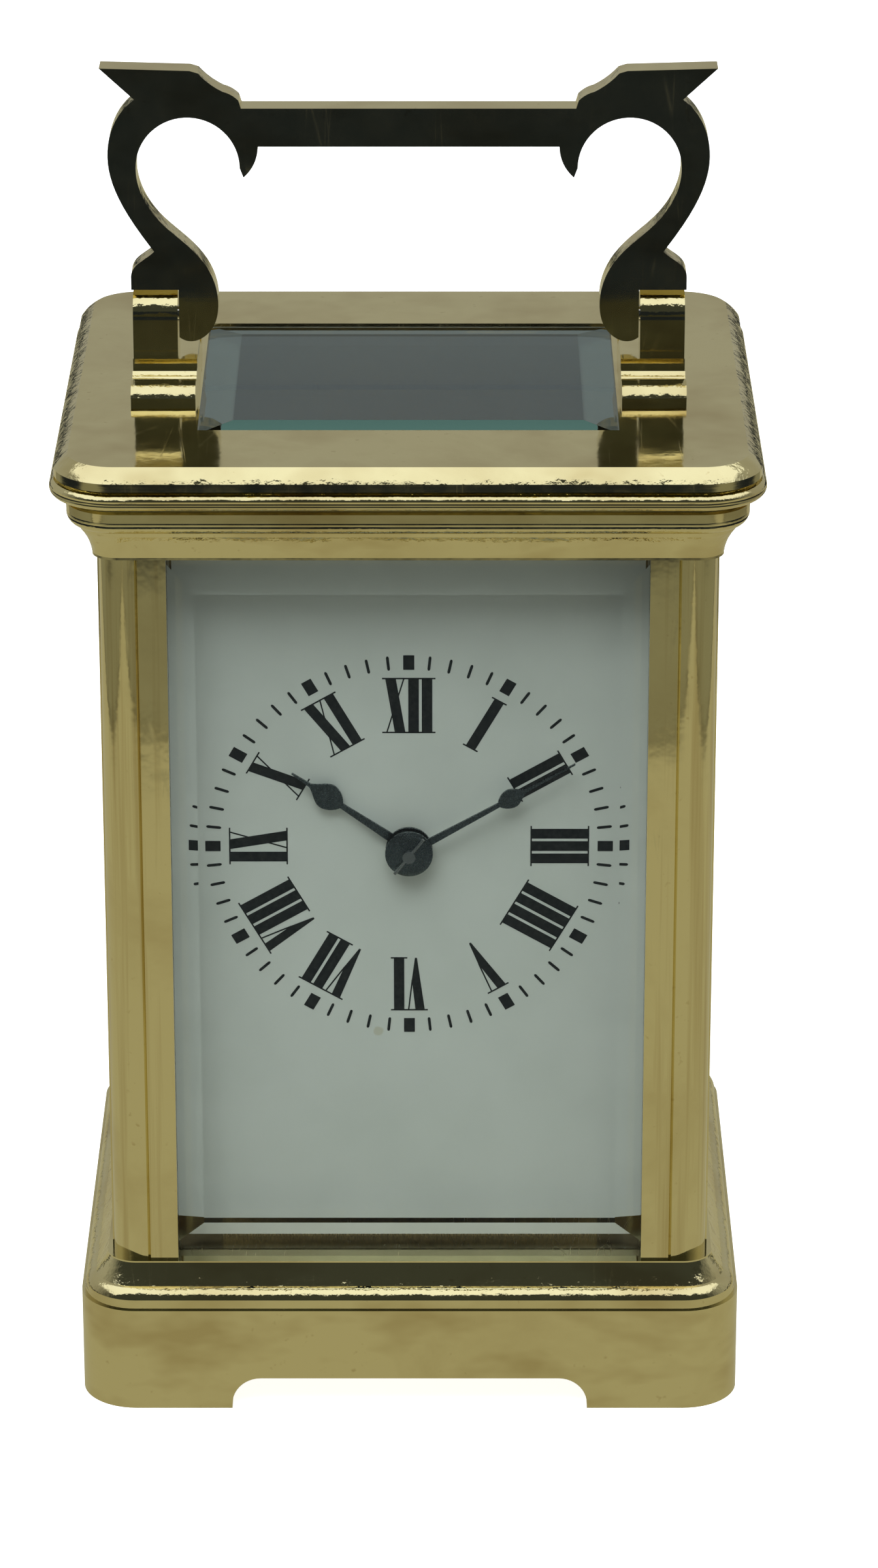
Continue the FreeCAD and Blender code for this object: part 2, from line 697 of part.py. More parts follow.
def handle_pivot_screws():
    """Shoulder screws, sunk flush into the posts and screwed into the handle's edges."""
    head = screw((PIVOT_HEAD_X, 0, PIVOT_Z), X_AXIS * -1, PIVOT_HEAD_RADIUS, POST_OUTER_X - PIVOT_HEAD_X,
                 PIVOT_RADIUS, PIVOT_HEAD_X - POST_INNER_X + 0.15)
    tip = rod_x(0, PIVOT_Z, PIVOT_END_X, POST_INNER_X, PIVOT_THREAD)
    right = fused(head, tip)
    return [right, mirrored(right, X_AXIS)]


# ---------------------------------------------------------------- the door
DOOR_GLASS = 2.2
DOOR_REBATE = 1.6
KNOB_SHANK = 0.8
KNOB_X = -26.9
KNOB_Z = 66.0


def door_frame():
    """The back door's frame. The hinge stile is rounded about the pins it turns on."""
    low, high = DOOR_BOTTOM_Z, DOOR_TOP_Z
    back, front = DOOR_Y + DOOR_HALF, DOOR_Y - DOOR_HALF
    plate = box(GAP - OPENING_X, DOOR_HINGE_X, front, back, low, high)
    hinge = rod_z((DOOR_HINGE_X, DOOR_Y), low, high, DOOR_HALF)
    light = DOOR_X - DOOR_STILE
    opening = box(-light, light, front, back, low + DOOR_STILE, high - DOOR_STILE)
    rebate_x = light + DOOR_REBATE
    rebate_edge = DOOR_STILE - DOOR_REBATE
    rebate = box(-rebate_x, rebate_x, front, front + DOOR_GLASS, low + rebate_edge,
                 high - rebate_edge)
    pins = rod_z((DOOR_HINGE_X, DOOR_Y), low - 1.8, high + 1.8, DOOR_PIN_RADIUS)
    knob_hole = rod_y((KNOB_X, KNOB_Z), front, back, KNOB_SHANK)
    return cut(fused(plate, hinge, pins), opening, rebate, knob_hole)


def door_glass():
    half_x = DOOR_X - DOOR_STILE + DOOR_REBATE - FIT
    half_z = (DOOR_TOP_Z - DOOR_BOTTOM_Z) / 2 - DOOR_STILE + DOOR_REBATE - FIT
    made = pane(half_x, half_z, DOOR_GLASS, 5.0, 1.2)
    made.rotate(FreeCAD.Vector(0, 0, 0), X_AXIS, -90)
    made.translate(FreeCAD.Vector(0, DOOR_Y - DOOR_HALF, (DOOR_TOP_Z + DOOR_BOTTOM_Z) / 2))
    return made


def door_knob():
    """The turned knob that pulls the door open, riveted through its stile."""
    face_y = DOOR_Y + DOOR_HALF
    half = face(
        lambda p: FreeCAD.Vector(p[0], face_y + p[1], 0),
        (0, -2 * DOOR_HALF),
        (KNOB_SHANK, -2 * DOOR_HALF),
        (KNOB_SHANK, 0),
        (1.3, 0),
        (1.3, 0.4),
        ((0.75, 1.1), (1.4, 1.7)),
        ((1.75, 2.6), (1.0, 3.3)),
        (0, 3.5),
    )
    knob = half.revolve(FreeCAD.Vector(0, 0, 0), Y_AXIS, 360)
    knob.translate(FreeCAD.Vector(KNOB_X, 0, KNOB_Z))
    return knob


# ---------------------------------------------------------------- the dial and the plates
DIAL_FEET_AT = [(sx * 20.5, z) for sx in (-1, 1) for z in (34.0, 80.0)]
DIAL_FOOT = 1.0
DIAL_HALF_X = OPENING_X - 0.2
DIAL_LOW_Z = SEAT_Z + 1.5
DIAL_HIGH_Z = CORNICE_BOTTOM_Z + MOVEMENT_DROP - 0.4
HOUR_PIPE = 2.2
POST_PIN = 0.7


def dial():
    """The enamelled copper dial with its four feet soldered on behind."""
    back = DIAL_Y + DIAL_THICKNESS
    plate = box(-DIAL_HALF_X, DIAL_HALF_X, DIAL_Y, back, DIAL_LOW_Z, DIAL_HIGH_Z)
    feet = [rod_y(at, DIAL_Y + DIAL_THICKNESS / 2, -16.9, DIAL_FOOT) for at in DIAL_FEET_AT]
    return cut(fused(plate, *feet), rod_y(CENTRE, DIAL_Y, back, HOUR_PIPE + 0.3))


BARREL_FRONT_PIVOT = 2.0
BARREL_BACK_PIVOT = 2.6
CENTRE_PIVOT = 1.5
TRAIN_PIVOT = 0.5
BEAK_ANGLE = math.radians(-120)  # the ratchet tooth that the click holds
CLICK_AT = polar(BARREL, 11.0, BEAK_ANGLE + math.radians(55))
CLICK_PIN = 0.9
CLICK_BOSS = 1.9


def plate(y):
    return box(-PLATE_X, PLATE_X, y, y + PLATE_THICKNESS, SEAT_Z, PLATE_TOP_Z)


def pivot_holes(y, barrel_radius, centre_radius):
    """The holes in a plate that the train turns in."""
    sizes = [(BARREL, barrel_radius), (CENTRE, centre_radius)]
    sizes += [(at, TRAIN_PIVOT) for at in (INTERMEDIATE_AT, THIRD_AT, CONTRATE)]
    return [rod_y(at, y, y + PLATE_THICKNESS, radius + FIT) for at, radius in sizes]


PILLAR_TENON = 1.4
PLATE_PILLARS_AT = [(sx * PLATE_PILLAR_X, z) for sx in (-1, 1) for z in (LOW_PILLAR_Z, HIGH_PILLAR_Z)]
PLATE_EDGE_Y = (FRONT_PLATE_Y + PLATE_THICKNESS / 2, BACK_PLATE_Y + PLATE_THICKNESS / 2)
PLATFORM_FRONT_SCREWS = [(sx * 14.5, PLATE_EDGE_Y[0]) for sx in (-1, 1)]
SMALL_SHANK = 0.7


def front_plate():
    """The front plate, with the post that the minute wheel turns on."""
    y = FRONT_PLATE_Y
    holes = [rod_y(at, y, y + PLATE_THICKNESS, DIAL_FOOT + FIT) for at in DIAL_FEET_AT]
    holes += [rod_y(at, y, y + PLATE_THICKNESS, PILLAR_TENON) for at in PLATE_PILLARS_AT]
    holes += [rod_z(at, PLATE_TOP_Z - 2.5, PLATE_TOP_Z, SMALL_SHANK) for at in PLATFORM_FRONT_SCREWS]
    post = rod_y(MINUTE_AT, y - 4.3, y, POST_PIN)
    return cut(fused(plate(y), post), *holes, *pivot_holes(y, BARREL_FRONT_PIVOT, CENTRE_PIVOT))


CLICK_SPRING_SCREW = (-14.5, 38.0)
PLATFORM_BACK_SCREWS = [(sx * 14.5, PLATE_EDGE_Y[1]) for sx in (-1, 1)]


def back_plate():
    """The back plate, with the stud that the click turns on."""
    y = BACK_PLATE_Y
    holes = [rod_y(at, y, y + PLATE_THICKNESS, PILLAR_TENON) for at in PLATE_PILLARS_AT]
    holes += [rod_z(at, PLATE_TOP_Z - 2.5, PLATE_TOP_Z, SMALL_SHANK) for at in PLATFORM_BACK_SCREWS]
    holes.append(rod_y(CLICK_SPRING_SCREW, y, y + PLATE_THICKNESS, SMALL_SHANK))
    stud = rod_y(CLICK_AT, y + PLATE_THICKNESS, y + PLATE_THICKNESS + 2.2, CLICK_PIN)
    return cut(fused(plate(y), stud), *holes, *pivot_holes(y, BARREL_BACK_PIVOT, CENTRE_PIVOT))


def plate_pillars():
    """The four turned pillars between the plates, riveted in front and tapped behind."""
    pillars = []
    low, high = PLATE_GAP_Y
    for at in PLATE_PILLARS_AT:
        bottom = at[1] == LOW_PILLAR_Z
        radius = 3.4 if bottom else 2.5
        body = rod_y(at, low, high, radius)
        waists = [
            rod_y(at, y, y + 1.0, radius + 1).cut(rod_y(at, y, y + 1.0, radius - 0.6))
            for y in (low + 1.6, high - 2.6)
        ]
        tenon = rod_y(at, low - PLATE_THICKNESS, low, PILLAR_TENON)
        tools = [rod_y(at, high - 5.0, high, 1.0)]
        if bottom:
            tools.append(rod_z((at[0], PLATE_MIDDLE_Y), at[1] - 5, at[1] + 1.0, SCREW_SHANK))
        pillars.append(cut(fused(body, tenon), *waists, *tools))
    return pillars


def plate_screws():
    """Screws through the back plate into the plate pillars."""
    back = BACK_PLATE_Y + PLATE_THICKNESS
    shank = PLATE_THICKNESS + 4.0
    return [screw((x, back, z), Y_AXIS * -1, 2.2, 1.0, 1.0, shank) for x, z in PLATE_PILLARS_AT]


# ---------------------------------------------------------------- the barrel and the winding work
DRUM_FRONT = -14.6
DRUM_BACK = 0.6
DRUM_RADIUS = 15.6
DRUM_WALL = 1.0
DRUM_FLOOR = 1.4
COVER = 1.0
RATCHET_Y = BACK_PLATE_Y + PLATE_THICKNESS + 0.3
RATCHET_THICKNESS = 1.4
RATCHET_RADIUS = 6.6


def barrel():
    """The spring barrel, in one piece with the great wheel round its back."""
    teeth = toothed(xz(DRUM_BACK - DRUM_FLOOR), Y_AXIS * DRUM_FLOOR, BARREL, GREAT[0], GREAT[2],
                    bearing(BARREL, INTERMEDIATE_AT))
    drum = rod_y(BARREL, DRUM_FRONT, DRUM_BACK - DRUM_FLOOR, DRUM_RADIUS)
    inside = rod_y(BARREL, DRUM_FRONT, DRUM_BACK - DRUM_FLOOR, DRUM_RADIUS - DRUM_WALL)
    return cut(fused(teeth, drum), inside, rod_y(BARREL, DRUM_FRONT, DRUM_BACK, BARREL_BACK_PIVOT + FIT))


def barrel_cover():
    cover = rod_y(BARREL, DRUM_FRONT, DRUM_FRONT + COVER, DRUM_RADIUS - DRUM_WALL)
    return cut(cover, rod_y(BARREL, DRUM_FRONT, DRUM_FRONT + COVER, BARREL_FRONT_PIVOT + FIT))


def mainspring():
    """The mainspring, wound in a spiral between the barrel's wall and its arbor."""
    y0 = DRUM_FRONT + COVER + 0.4
    y1 = DRUM_BACK - DRUM_FLOOR - 0.4
    return spiral(BARREL, xz(y0), Y_AXIS * (y1 - y0), 4.6, DRUM_RADIUS - DRUM_WALL, 9, 0.35)


def barrel_arbor():
    """The arbor the spring is wound on, with its core, pivots and winding square."""
    core = rod_y(BARREL, DRUM_FRONT + COVER + 0.3, DRUM_BACK - DRUM_FLOOR - 0.3, 3.6)
    front = rod_y(BARREL, FRONT_PLATE_Y, DRUM_FRONT + COVER + 0.3, BARREL_FRONT_PIVOT)
    back = rod_y(BARREL, DRUM_BACK - DRUM_FLOOR - 0.3, RATCHET_Y + RATCHET_THICKNESS, BARREL_BACK_PIVOT)
    half = 1.7
    x, z = BARREL
    square = box(x - half, x + half, RATCHET_Y, 21.0, z - half, z + half)
    return fused(core, front, back, square)


def ratchet_wheel():
    """The winding ratchet: straight backs that the click slides over and steep faces it holds."""
    pitch = 2 * math.pi / RATCHET_TEETH
    root = RATCHET_RADIUS - 0.9
    points = []
    for n in range(RATCHET_TEETH):
        points.append(polar(BARREL, RATCHET_RADIUS, n * pitch))
        points.append(polar(BARREL, root, n * pitch + 0.04))
    blank = slab(xz(RATCHET_Y), Y_AXIS * RATCHET_THICKNESS, points[0], *points[1:])
    return cut(blank, rod_y(BARREL, RATCHET_Y, RATCHET_Y + RATCHET_THICKNESS, BARREL_BACK_PIVOT))


def click():
    """The click, whose beak rests against the steep face of a ratchet tooth."""
    beak = polar(BARREL, RATCHET_RADIUS - 0.65, BEAK_ANGLE + 0.05)
    under = polar(BARREL, RATCHET_RADIUS + 0.2, BEAK_ANGLE + 0.17)
    over = polar(BARREL, RATCHET_RADIUS + 1.5, BEAK_ANGLE + 0.02)
    toward = bearing(CLICK_AT, under)
    left = polar(CLICK_AT, CLICK_BOSS, toward - math.pi / 2)
    right = polar(CLICK_AT, CLICK_BOSS, toward + math.pi / 2)
    y0, y1 = RATCHET_Y, RATCHET_Y + RATCHET_THICKNESS
    boss = rod_y(CLICK_AT, y0, y1, CLICK_BOSS)
    arm = slab(xz(y0), Y_AXIS * (y1 - y0), left, under, beak, over, right)
    return cut(fused(boss, arm), rod_y(CLICK_AT, y0, y1, CLICK_PIN + FIT))


def click_spring():
    """The flat spring, screwed to the back plate, that presses the click into the ratchet."""
    y0, y1 = RATCHET_Y, RATCHET_Y + RATCHET_THICKNESS
    foot = rod_y(CLICK_SPRING_SCREW, BACK_PLATE_Y + PLATE_THICKNESS, y1, 1.8)
    x, z = CLICK_SPRING_SCREW
    tip_x, tip_z = polar(CLICK_AT, CLICK_BOSS + 0.9, bearing(BARREL, CLICK_AT) - math.pi / 3)
    half = 0.25
    middle_x, middle_z = (x + tip_x) / 2, (z + tip_z) / 2 - 0.9
    blade = slab(
        xz(y0),
        Y_AXIS * (y1 - y0),
        (x, z + half),
        ((middle_x, middle_z + half), (tip_x, tip_z + half)),
        (tip_x, tip_z - half),
        ((middle_x, middle_z - half), (x, z - half)),
    )
    return cut(fused(foot, blade), rod_y(CLICK_SPRING_SCREW, BACK_PLATE_Y, y1, SMALL_SHANK + FIT))


# ---------------------------------------------------------------- the going train
ARBOR_ENDS = (FRONT_PLATE_Y, BACK_PLATE_Y + PLATE_THICKNESS)
SHAKE = 0.2  # end play of an arbor between the plates


def arbor(centre, radius, pivot):
    """An arbor with a pivot in each plate."""
    body = rod_y(centre, PLATE_GAP_Y[0] + SHAKE, PLATE_GAP_Y[1] - SHAKE, radius)
    return fused(body, rod_y(centre, *ARBOR_ENDS, pivot))


def train_wheel(centre, partner, mesh, y0, bore, thickness=1.0):
    made = wheel(centre, partner, mesh, y0, y0 + thickness)
    return cut(made, rod_y(centre, y0, y0 + thickness, bore))


INTERMEDIATE_WHEEL_Y = 3.6
CENTRE_WHEEL_Y = -14.6
THIRD_WHEEL_Y = 0.6
ARBOR_RADIUS = 0.9
CENTRE_ARBOR_RADIUS = 1.7


def intermediate_wheel():
    return train_wheel(INTERMEDIATE_AT, CENTRE, INTERMEDIATE, INTERMEDIATE_WHEEL_Y, ARBOR_RADIUS, 1.2)


def intermediate_arbor():
    leaves = pinion(INTERMEDIATE_AT, BARREL, GREAT, DRUM_BACK - DRUM_FLOOR - 1.0, DRUM_BACK + 1.0)
    return fused(arbor(INTERMEDIATE_AT, ARBOR_RADIUS, TRAIN_PIVOT), leaves)


def centre_wheel():
    return train_wheel(CENTRE, THIRD_AT, CENTRE_MESH, CENTRE_WHEEL_Y, CENTRE_ARBOR_RADIUS)


ARBOR_TIP_Y = -28.85
CANNON_BORE = 0.8
PIN_RADIUS = 0.2


def centre_arbor():
    """The centre arbor: pinion inside, hands in front and the square for setting them behind."""
    y = INTERMEDIATE_WHEEL_Y
    leaves = pinion(CENTRE, INTERMEDIATE_AT, INTERMEDIATE, y - 0.8, y + 2.0)
    body = arbor(CENTRE, CENTRE_ARBOR_RADIUS, CENTRE_PIVOT)
    front = rod_y(CENTRE, ARBOR_TIP_Y, FRONT_PLATE_Y, CANNON_BORE)
    half = 1.0
    x, z = CENTRE
    square = box(x - half, x + half, ARBOR_ENDS[1], 17.0, z - half, z + half)
    return cut(fused(body, leaves, front, square), taper_pin(PIN_RADIUS))


def third_wheel():
    return train_wheel(THIRD_AT, CONTRATE, THIRD, THIRD_WHEEL_Y, ARBOR_RADIUS)


def third_arbor():
    leaves = pinion(THIRD_AT, CENTRE, CENTRE_MESH, CENTRE_WHEEL_Y - 0.9, CENTRE_WHEEL_Y + 1.9)
    return fused(arbor(THIRD_AT, ARBOR_RADIUS, TRAIN_PIVOT), leaves)


def contrate_arbor():
    leaves = pinion(CONTRATE, THIRD_AT, THIRD, THIRD_WHEEL_Y - 0.9, THIRD_WHEEL_Y + 1.9)
    return fused(arbor(CONTRATE, 0.7, TRAIN_PIVOT), leaves)


ESCAPE_PINION_RADIUS = CONTRATE_MESH[1] * CONTRATE_MESH[2] / 2
CROWN_PITCH_Y = ESCAPE_AXIS[1] - ESCAPE_PINION_RADIUS
CROWN_RADIUS = CONTRATE_MESH[0] * CONTRATE_MESH[2] / 2
CROWN_WIDTH = 0.8


def contrate_wheel():
    """The crown wheel, whose teeth stand up from its rim to drive the escape pinion."""
    root_y = CROWN_PITCH_Y - 0.35
    disc_y = root_y - 1.6
    inner, outer = CROWN_RADIUS - CROWN_WIDTH / 2, CROWN_RADIUS + CROWN_WIDTH / 2
    disc = rod_y(CONTRATE, disc_y, disc_y + 0.8, outer)
    disc = cut(disc, *crossings(CONTRATE, disc_y, disc_y + 0.8, 4, 2.0, inner - 0.4, 1.0))
    rim = rod_y(CONTRATE, disc_y, root_y, outer).cut(rod_y(CONTRATE, disc_y, root_y, inner))
    teeth = []
    for n in range(CONTRATE_MESH[0]):
        tooth = slab(
            xy(CONTRATE[1] + inner + 0.05),
            Z_AXIS * (CROWN_WIDTH - 0.1),
            (CONTRATE[0] - 0.29, root_y - 0.1),
            (CONTRATE[0] - 0.29, root_y),
            (CONTRATE[0] - 0.07, CROWN_PITCH_Y + 0.15),
            (CONTRATE[0] + 0.07, CROWN_PITCH_Y + 0.15),
            (CONTRATE[0] + 0.29, root_y),
            (CONTRATE[0] + 0.29, root_y - 0.1),
        )
        tooth.rotate(FreeCAD.Vector(CONTRATE[0], 0, CONTRATE[1]), Y_AXIS, 360 / CONTRATE_MESH[0] * n)
        teeth.append(tooth)
    return cut(fused(disc, rim, *teeth), rod_y(CONTRATE, disc_y, root_y, 0.7))


# ---------------------------------------------------------------- the motion work and the hands
CANNON_RADIUS = 1.45
CANNON_PINION_Y = -20.4
MINUTE_WHEEL_Y = -20.2
HOUR_WHEEL_Y = -22.3
HOUR_HAND_Y = -26.2
MINUTE_HAND_Y = -27.4
HAND_THICKNESS = 0.35
COLLET_Y = -28.25
HOUR_HAND_ANGLE = math.radians(305)
MINUTE_HAND_ANGLE = math.radians(60)
PIN_Y = -28.5


def cannon_pinion():
    leaves = pinion(CENTRE, MINUTE_AT, MINUTE, CANNON_PINION_Y, CANNON_PINION_Y + 1.6)
    tube = rod_y(CENTRE, MINUTE_HAND_Y, CANNON_PINION_Y, CANNON_RADIUS)
    return cut(fused(leaves, tube), rod_y(CENTRE, MINUTE_HAND_Y, FRONT_PLATE_Y, CANNON_BORE))


def minute_wheel():
    """The minute wheel and its pinion, which turn together on the post of the front plate."""
    y = MINUTE_WHEEL_Y
    driven = wheel(MINUTE_AT, CENTRE, MINUTE, y, y + 1.0, 3)
    driver = pinion(MINUTE_AT, CENTRE, HOUR, HOUR_WHEEL_Y - 0.2, y)
    return cut(fused(driven, driver), rod_y(MINUTE_AT, HOUR_WHEEL_Y - 0.2, y + 1.0, POST_PIN + FIT))


def hour_wheel():
    """The hour wheel and the pipe that carries the hour hand."""
    y = HOUR_WHEEL_Y
    blank = toothed(xz(y), Y_AXIS * 0.8, CENTRE, HOUR[0], HOUR[2], bearing(CENTRE, MINUTE_AT))
    pipe = rod_y(CENTRE, HOUR_HAND_Y, y, HOUR_PIPE)
    return cut(fused(blank, pipe), rod_y(CENTRE, HOUR_HAND_Y, y + 0.8, CANNON_RADIUS + 2 * FIT))


def hand(y, clock_angle, bore, boss, arm, pear_at, pear_width, pear_length, tip):
    """A pear hand: a boss, a slender arm, a pear-shaped swelling and a fine point."""

    def plane(p):
        along, across = p
        x, z = polar(CENTRE, along, clock_angle)
        side_x, side_z = polar((x, z), across, clock_angle + math.pi / 2)
        return FreeCAD.Vector(side_x, y, side_z)

    start = math.sqrt(boss**2 - arm**2)
    inner, outer = pear_at - pear_length / 2, pear_at + pear_length / 2
    half = pear_width / 2
    blade = slab(
        plane,
        Y_AXIS * HAND_THICKNESS,
        (start - 0.2, -arm),
        (inner, -arm * 0.6),
        [(pear_at - pear_length * 0.25, -half * 0.86), (pear_at, -half),
         (pear_at + pear_length * 0.25, -half * 0.62), (outer, -0.22)],
        (tip, -0.08),
        (tip, 0.08),
        (outer, 0.22),
        [(pear_at + pear_length * 0.25, half * 0.62), (pear_at, half),
         (pear_at - pear_length * 0.25, half * 0.86), (inner, arm * 0.6)],
        (start - 0.2, arm),
    )
    made = fused(rod_y(CENTRE, y, y + HAND_THICKNESS, boss), blade)
    return cut(made, rod_y(CENTRE, y, y + HAND_THICKNESS, bore))


def hour_hand():
    return hand(HOUR_HAND_Y, HOUR_HAND_ANGLE, HOUR_PIPE, 2.9, 0.55, 12.5, 3.3, 4.7, 17.6)


def minute_hand():
    return hand(MINUTE_HAND_Y, MINUTE_HAND_ANGLE, CANNON_RADIUS, 2.7, 0.45, 14.7, 2.4, 3.8, 23.6)


def hand_collet():
    """The domed washer under the taper pin that holds the hands on."""
    half = face(
        lambda p: FreeCAD.Vector(p[0], p[1], 0),
        (CANNON_BORE, MINUTE_HAND_Y),
        (2.95, MINUTE_HAND_Y),
        (2.95, MINUTE_HAND_Y - 0.3),
        ((2.0, COLLET_Y + 0.18), (CANNON_BORE, COLLET_Y)),
    )
    dome = half.revolve(FreeCAD.Vector(0, 0, 0), Y_AXIS, 360)
    dome.translate(FreeCAD.Vector(CENTRE[0], 0, CENTRE[1]))
    return cut(dome, taper_pin(PIN_RADIUS))


def taper_pin(radius):
    """The pin through the tip of the centre arbor."""
    lean = math.radians(38)
    length = 5.8
    x, z = polar(CENTRE, -length / 2, lean)
    way = FreeCAD.Vector(math.sin(lean), 0, math.cos(lean))
    return Part.makeCylinder(radius, length, FreeCAD.Vector(x, PIN_Y, z), way)


def hand_pin():
    return taper_pin(PIN_RADIUS)


# ---------------------------------------------------------------- the platform escapement
SMALL_HEAD = 1.2
SMALL_HEAD_HEIGHT = 0.6
COCK_SCREW = (ESCAPE_AXIS[0] + 1.2, -11.6)
BALANCE_COCK_SCREW = (15.0, BALANCE_AXIS[1])
POTENCE_SCREW = (ESCAPE_AXIS[0], 1.4)
STAFF_PIVOT = 0.15
ESCAPE_PIVOT = 0.2
JEWEL_RADIUS = 0.75
JEWEL_HEIGHT = 0.6
FLAT_Z = PLATFORM_TOP + 1.2  # underside of the escape wheel and the lever
FLAT_THICKNESS = 0.5
COCK_LOW = PLATFORM_TOP + 2.4
COCK_TOP = COCK_LOW + 1.0
BALANCE_LOW = PLATFORM_TOP + 4.0
HAIRSPRING_LOW = BALANCE_LOW + 1.6
HAIRSPRING_OUTER = 4.3
BALANCE_COCK_LOW = HAIRSPRING_LOW + 1.0
BALANCE_COCK_TOP = BALANCE_COCK_LOW + 1.2
BOSS_TOP = BALANCE_COCK_TOP + 0.8
BOSS_RADIUS = 1.2
POTENCE_LOW = 90.7
LEVER_SWING = math.radians(5)


def platform():
    """The plate the escapement is built on, with two banking pins beside the lever."""
    y0, y1 = ARBOR_ENDS
    block = box(-PLATFORM_X, PLATFORM_X, y0, y1, PLATE_TOP_Z, PLATFORM_TOP)
    reach = 3.9
    swing = 0.35 + reach * math.sin(LEVER_SWING) + 0.35
    pins = [
        rod_z((LEVER_AXIS[0] + reach, LEVER_AXIS[1] + side * swing), PLATFORM_TOP - 0.5,
              FLAT_Z + FLAT_THICKNESS, 0.25)
        for side in (-1, 1)
    ]
    holes = [rod_z(ESCAPE_AXIS, PLATE_TOP_Z, PLATFORM_TOP, 1.3)]
    holes += [
        rod_z(at, PLATE_TOP_Z, PLATFORM_TOP, SMALL_SHANK + FIT)
        for at in [*PLATFORM_FRONT_SCREWS, *PLATFORM_BACK_SCREWS, POTENCE_SCREW]
    ]
    holes += [
        rod_z(at, PLATFORM_TOP - JEWEL_HEIGHT, PLATFORM_TOP, JEWEL_RADIUS)
        for at in (LEVER_AXIS, BALANCE_AXIS)
    ]
    holes += [rod_z(at, PLATE_TOP_Z, PLATFORM_TOP, SMALL_SHANK) for at in (COCK_SCREW, BALANCE_COCK_SCREW)]
    return cut(fused(block, *pins), *holes)


def potence():
    """The bracket under the platform that holds the lower end of the escape arbor."""
    x, y = ESCAPE_AXIS
    block = box(x - 1.6, x + 1.6, -0.2, 3.0, POTENCE_LOW, PLATE_TOP_Z)
    tongue = box(x - 0.42, x + 0.42, y, 0.5, POTENCE_LOW, POTENCE_LOW + 0.8)
    nose = rod_z(ESCAPE_AXIS, POTENCE_LOW, POTENCE_LOW + 0.8, 0.42)
    hole = rod_z(ESCAPE_AXIS, POTENCE_LOW, POTENCE_LOW + 0.8, ESCAPE_PIVOT + FIT)
    thread = rod_z(POTENCE_SCREW, PLATE_TOP_Z - 2.5, PLATE_TOP_Z, SMALL_SHANK)
    return cut(fused(block, tongue, nose), hole, thread)


def escape_wheel():
    """The club-toothed escape wheel with its arbor and the pinion that hangs under the platform."""
    pitch = 2 * math.pi / ESCAPE_TEETH
    points = []
    for n in range(ESCAPE_TEETH):
        at = n * pitch
        points.append(polar(ESCAPE_AXIS, 2.75, at - 0.13))
        points.append(polar(ESCAPE_AXIS, ESCAPE_TIP - 0.15, at - 0.02))
        points.append(polar(ESCAPE_AXIS, ESCAPE_TIP, at + 0.06))
        points.append(polar(ESCAPE_AXIS, ESCAPE_TIP - 0.35, at + 0.07))
        points.append(polar(ESCAPE_AXIS, 2.75, at + 0.09))
    blank = slab(xy(FLAT_Z), Z_AXIS * FLAT_THICKNESS, points[0], *points[1:])
    ring = rod_z(ESCAPE_AXIS, FLAT_Z, FLAT_Z + FLAT_THICKNESS, 2.2)
    ring = ring.cut(rod_z(ESCAPE_AXIS, FLAT_Z, FLAT_Z + FLAT_THICKNESS, 0.9))
    x, y = ESCAPE_AXIS
    cross = [box(x - 2.4, x + 2.4, y - 0.25, y + 0.25, FLAT_Z, FLAT_Z + FLAT_THICKNESS),
             box(x - 0.25, x + 0.25, y - 2.4, y + 2.4, FLAT_Z, FLAT_Z + FLAT_THICKNESS)]
    blank = cut(blank, *cut(ring, *cross).Solids)
    body = rod_z(ESCAPE_AXIS, POTENCE_LOW + 1.0, COCK_LOW - 0.2, 0.45)
    pivots = rod_z(ESCAPE_AXIS, POTENCE_LOW, COCK_TOP - 0.1, ESCAPE_PIVOT)
    leaves = toothed(xy(CONTRATE[1] + CROWN_RADIUS - 0.7), Z_AXIS * 1.4, ESCAPE_AXIS, CONTRATE_MESH[1],
                     CONTRATE_MESH[2], math.pi + math.pi / CONTRATE_MESH[1], pinion=True)
    return fused(blank, body, pivots, leaves)


def escape_cock():
    """The cock over the escape wheel and the lever."""
    x0, x1 = ESCAPE_AXIS[0] - 1.3, LEVER_AXIS[0] + 1.3
    y0, y1 = -13.4, ESCAPE_AXIS[1] + 1.3
    top = box(x0, x1, y0, y1, COCK_LOW, COCK_TOP)
    foot = box(x0, x1, y0, -9.8, PLATFORM_TOP, COCK_LOW)
    holes = [rod_z(COCK_SCREW, PLATFORM_TOP, COCK_TOP, SMALL_SHANK + FIT)]
    for at in (ESCAPE_AXIS, LEVER_AXIS):
        holes.append(rod_z(at, COCK_LOW, COCK_TOP, 0.55))
        holes.append(rod_z(at, COCK_TOP - JEWEL_HEIGHT, COCK_TOP, JEWEL_RADIUS))
    return cut(fused(top, foot), *holes)


PALLET_REACH = PALLET_CIRCLE * math.tan(math.pi / 6)  # from the lever's axis to a stone
IMPULSE_RADIUS = 1.3


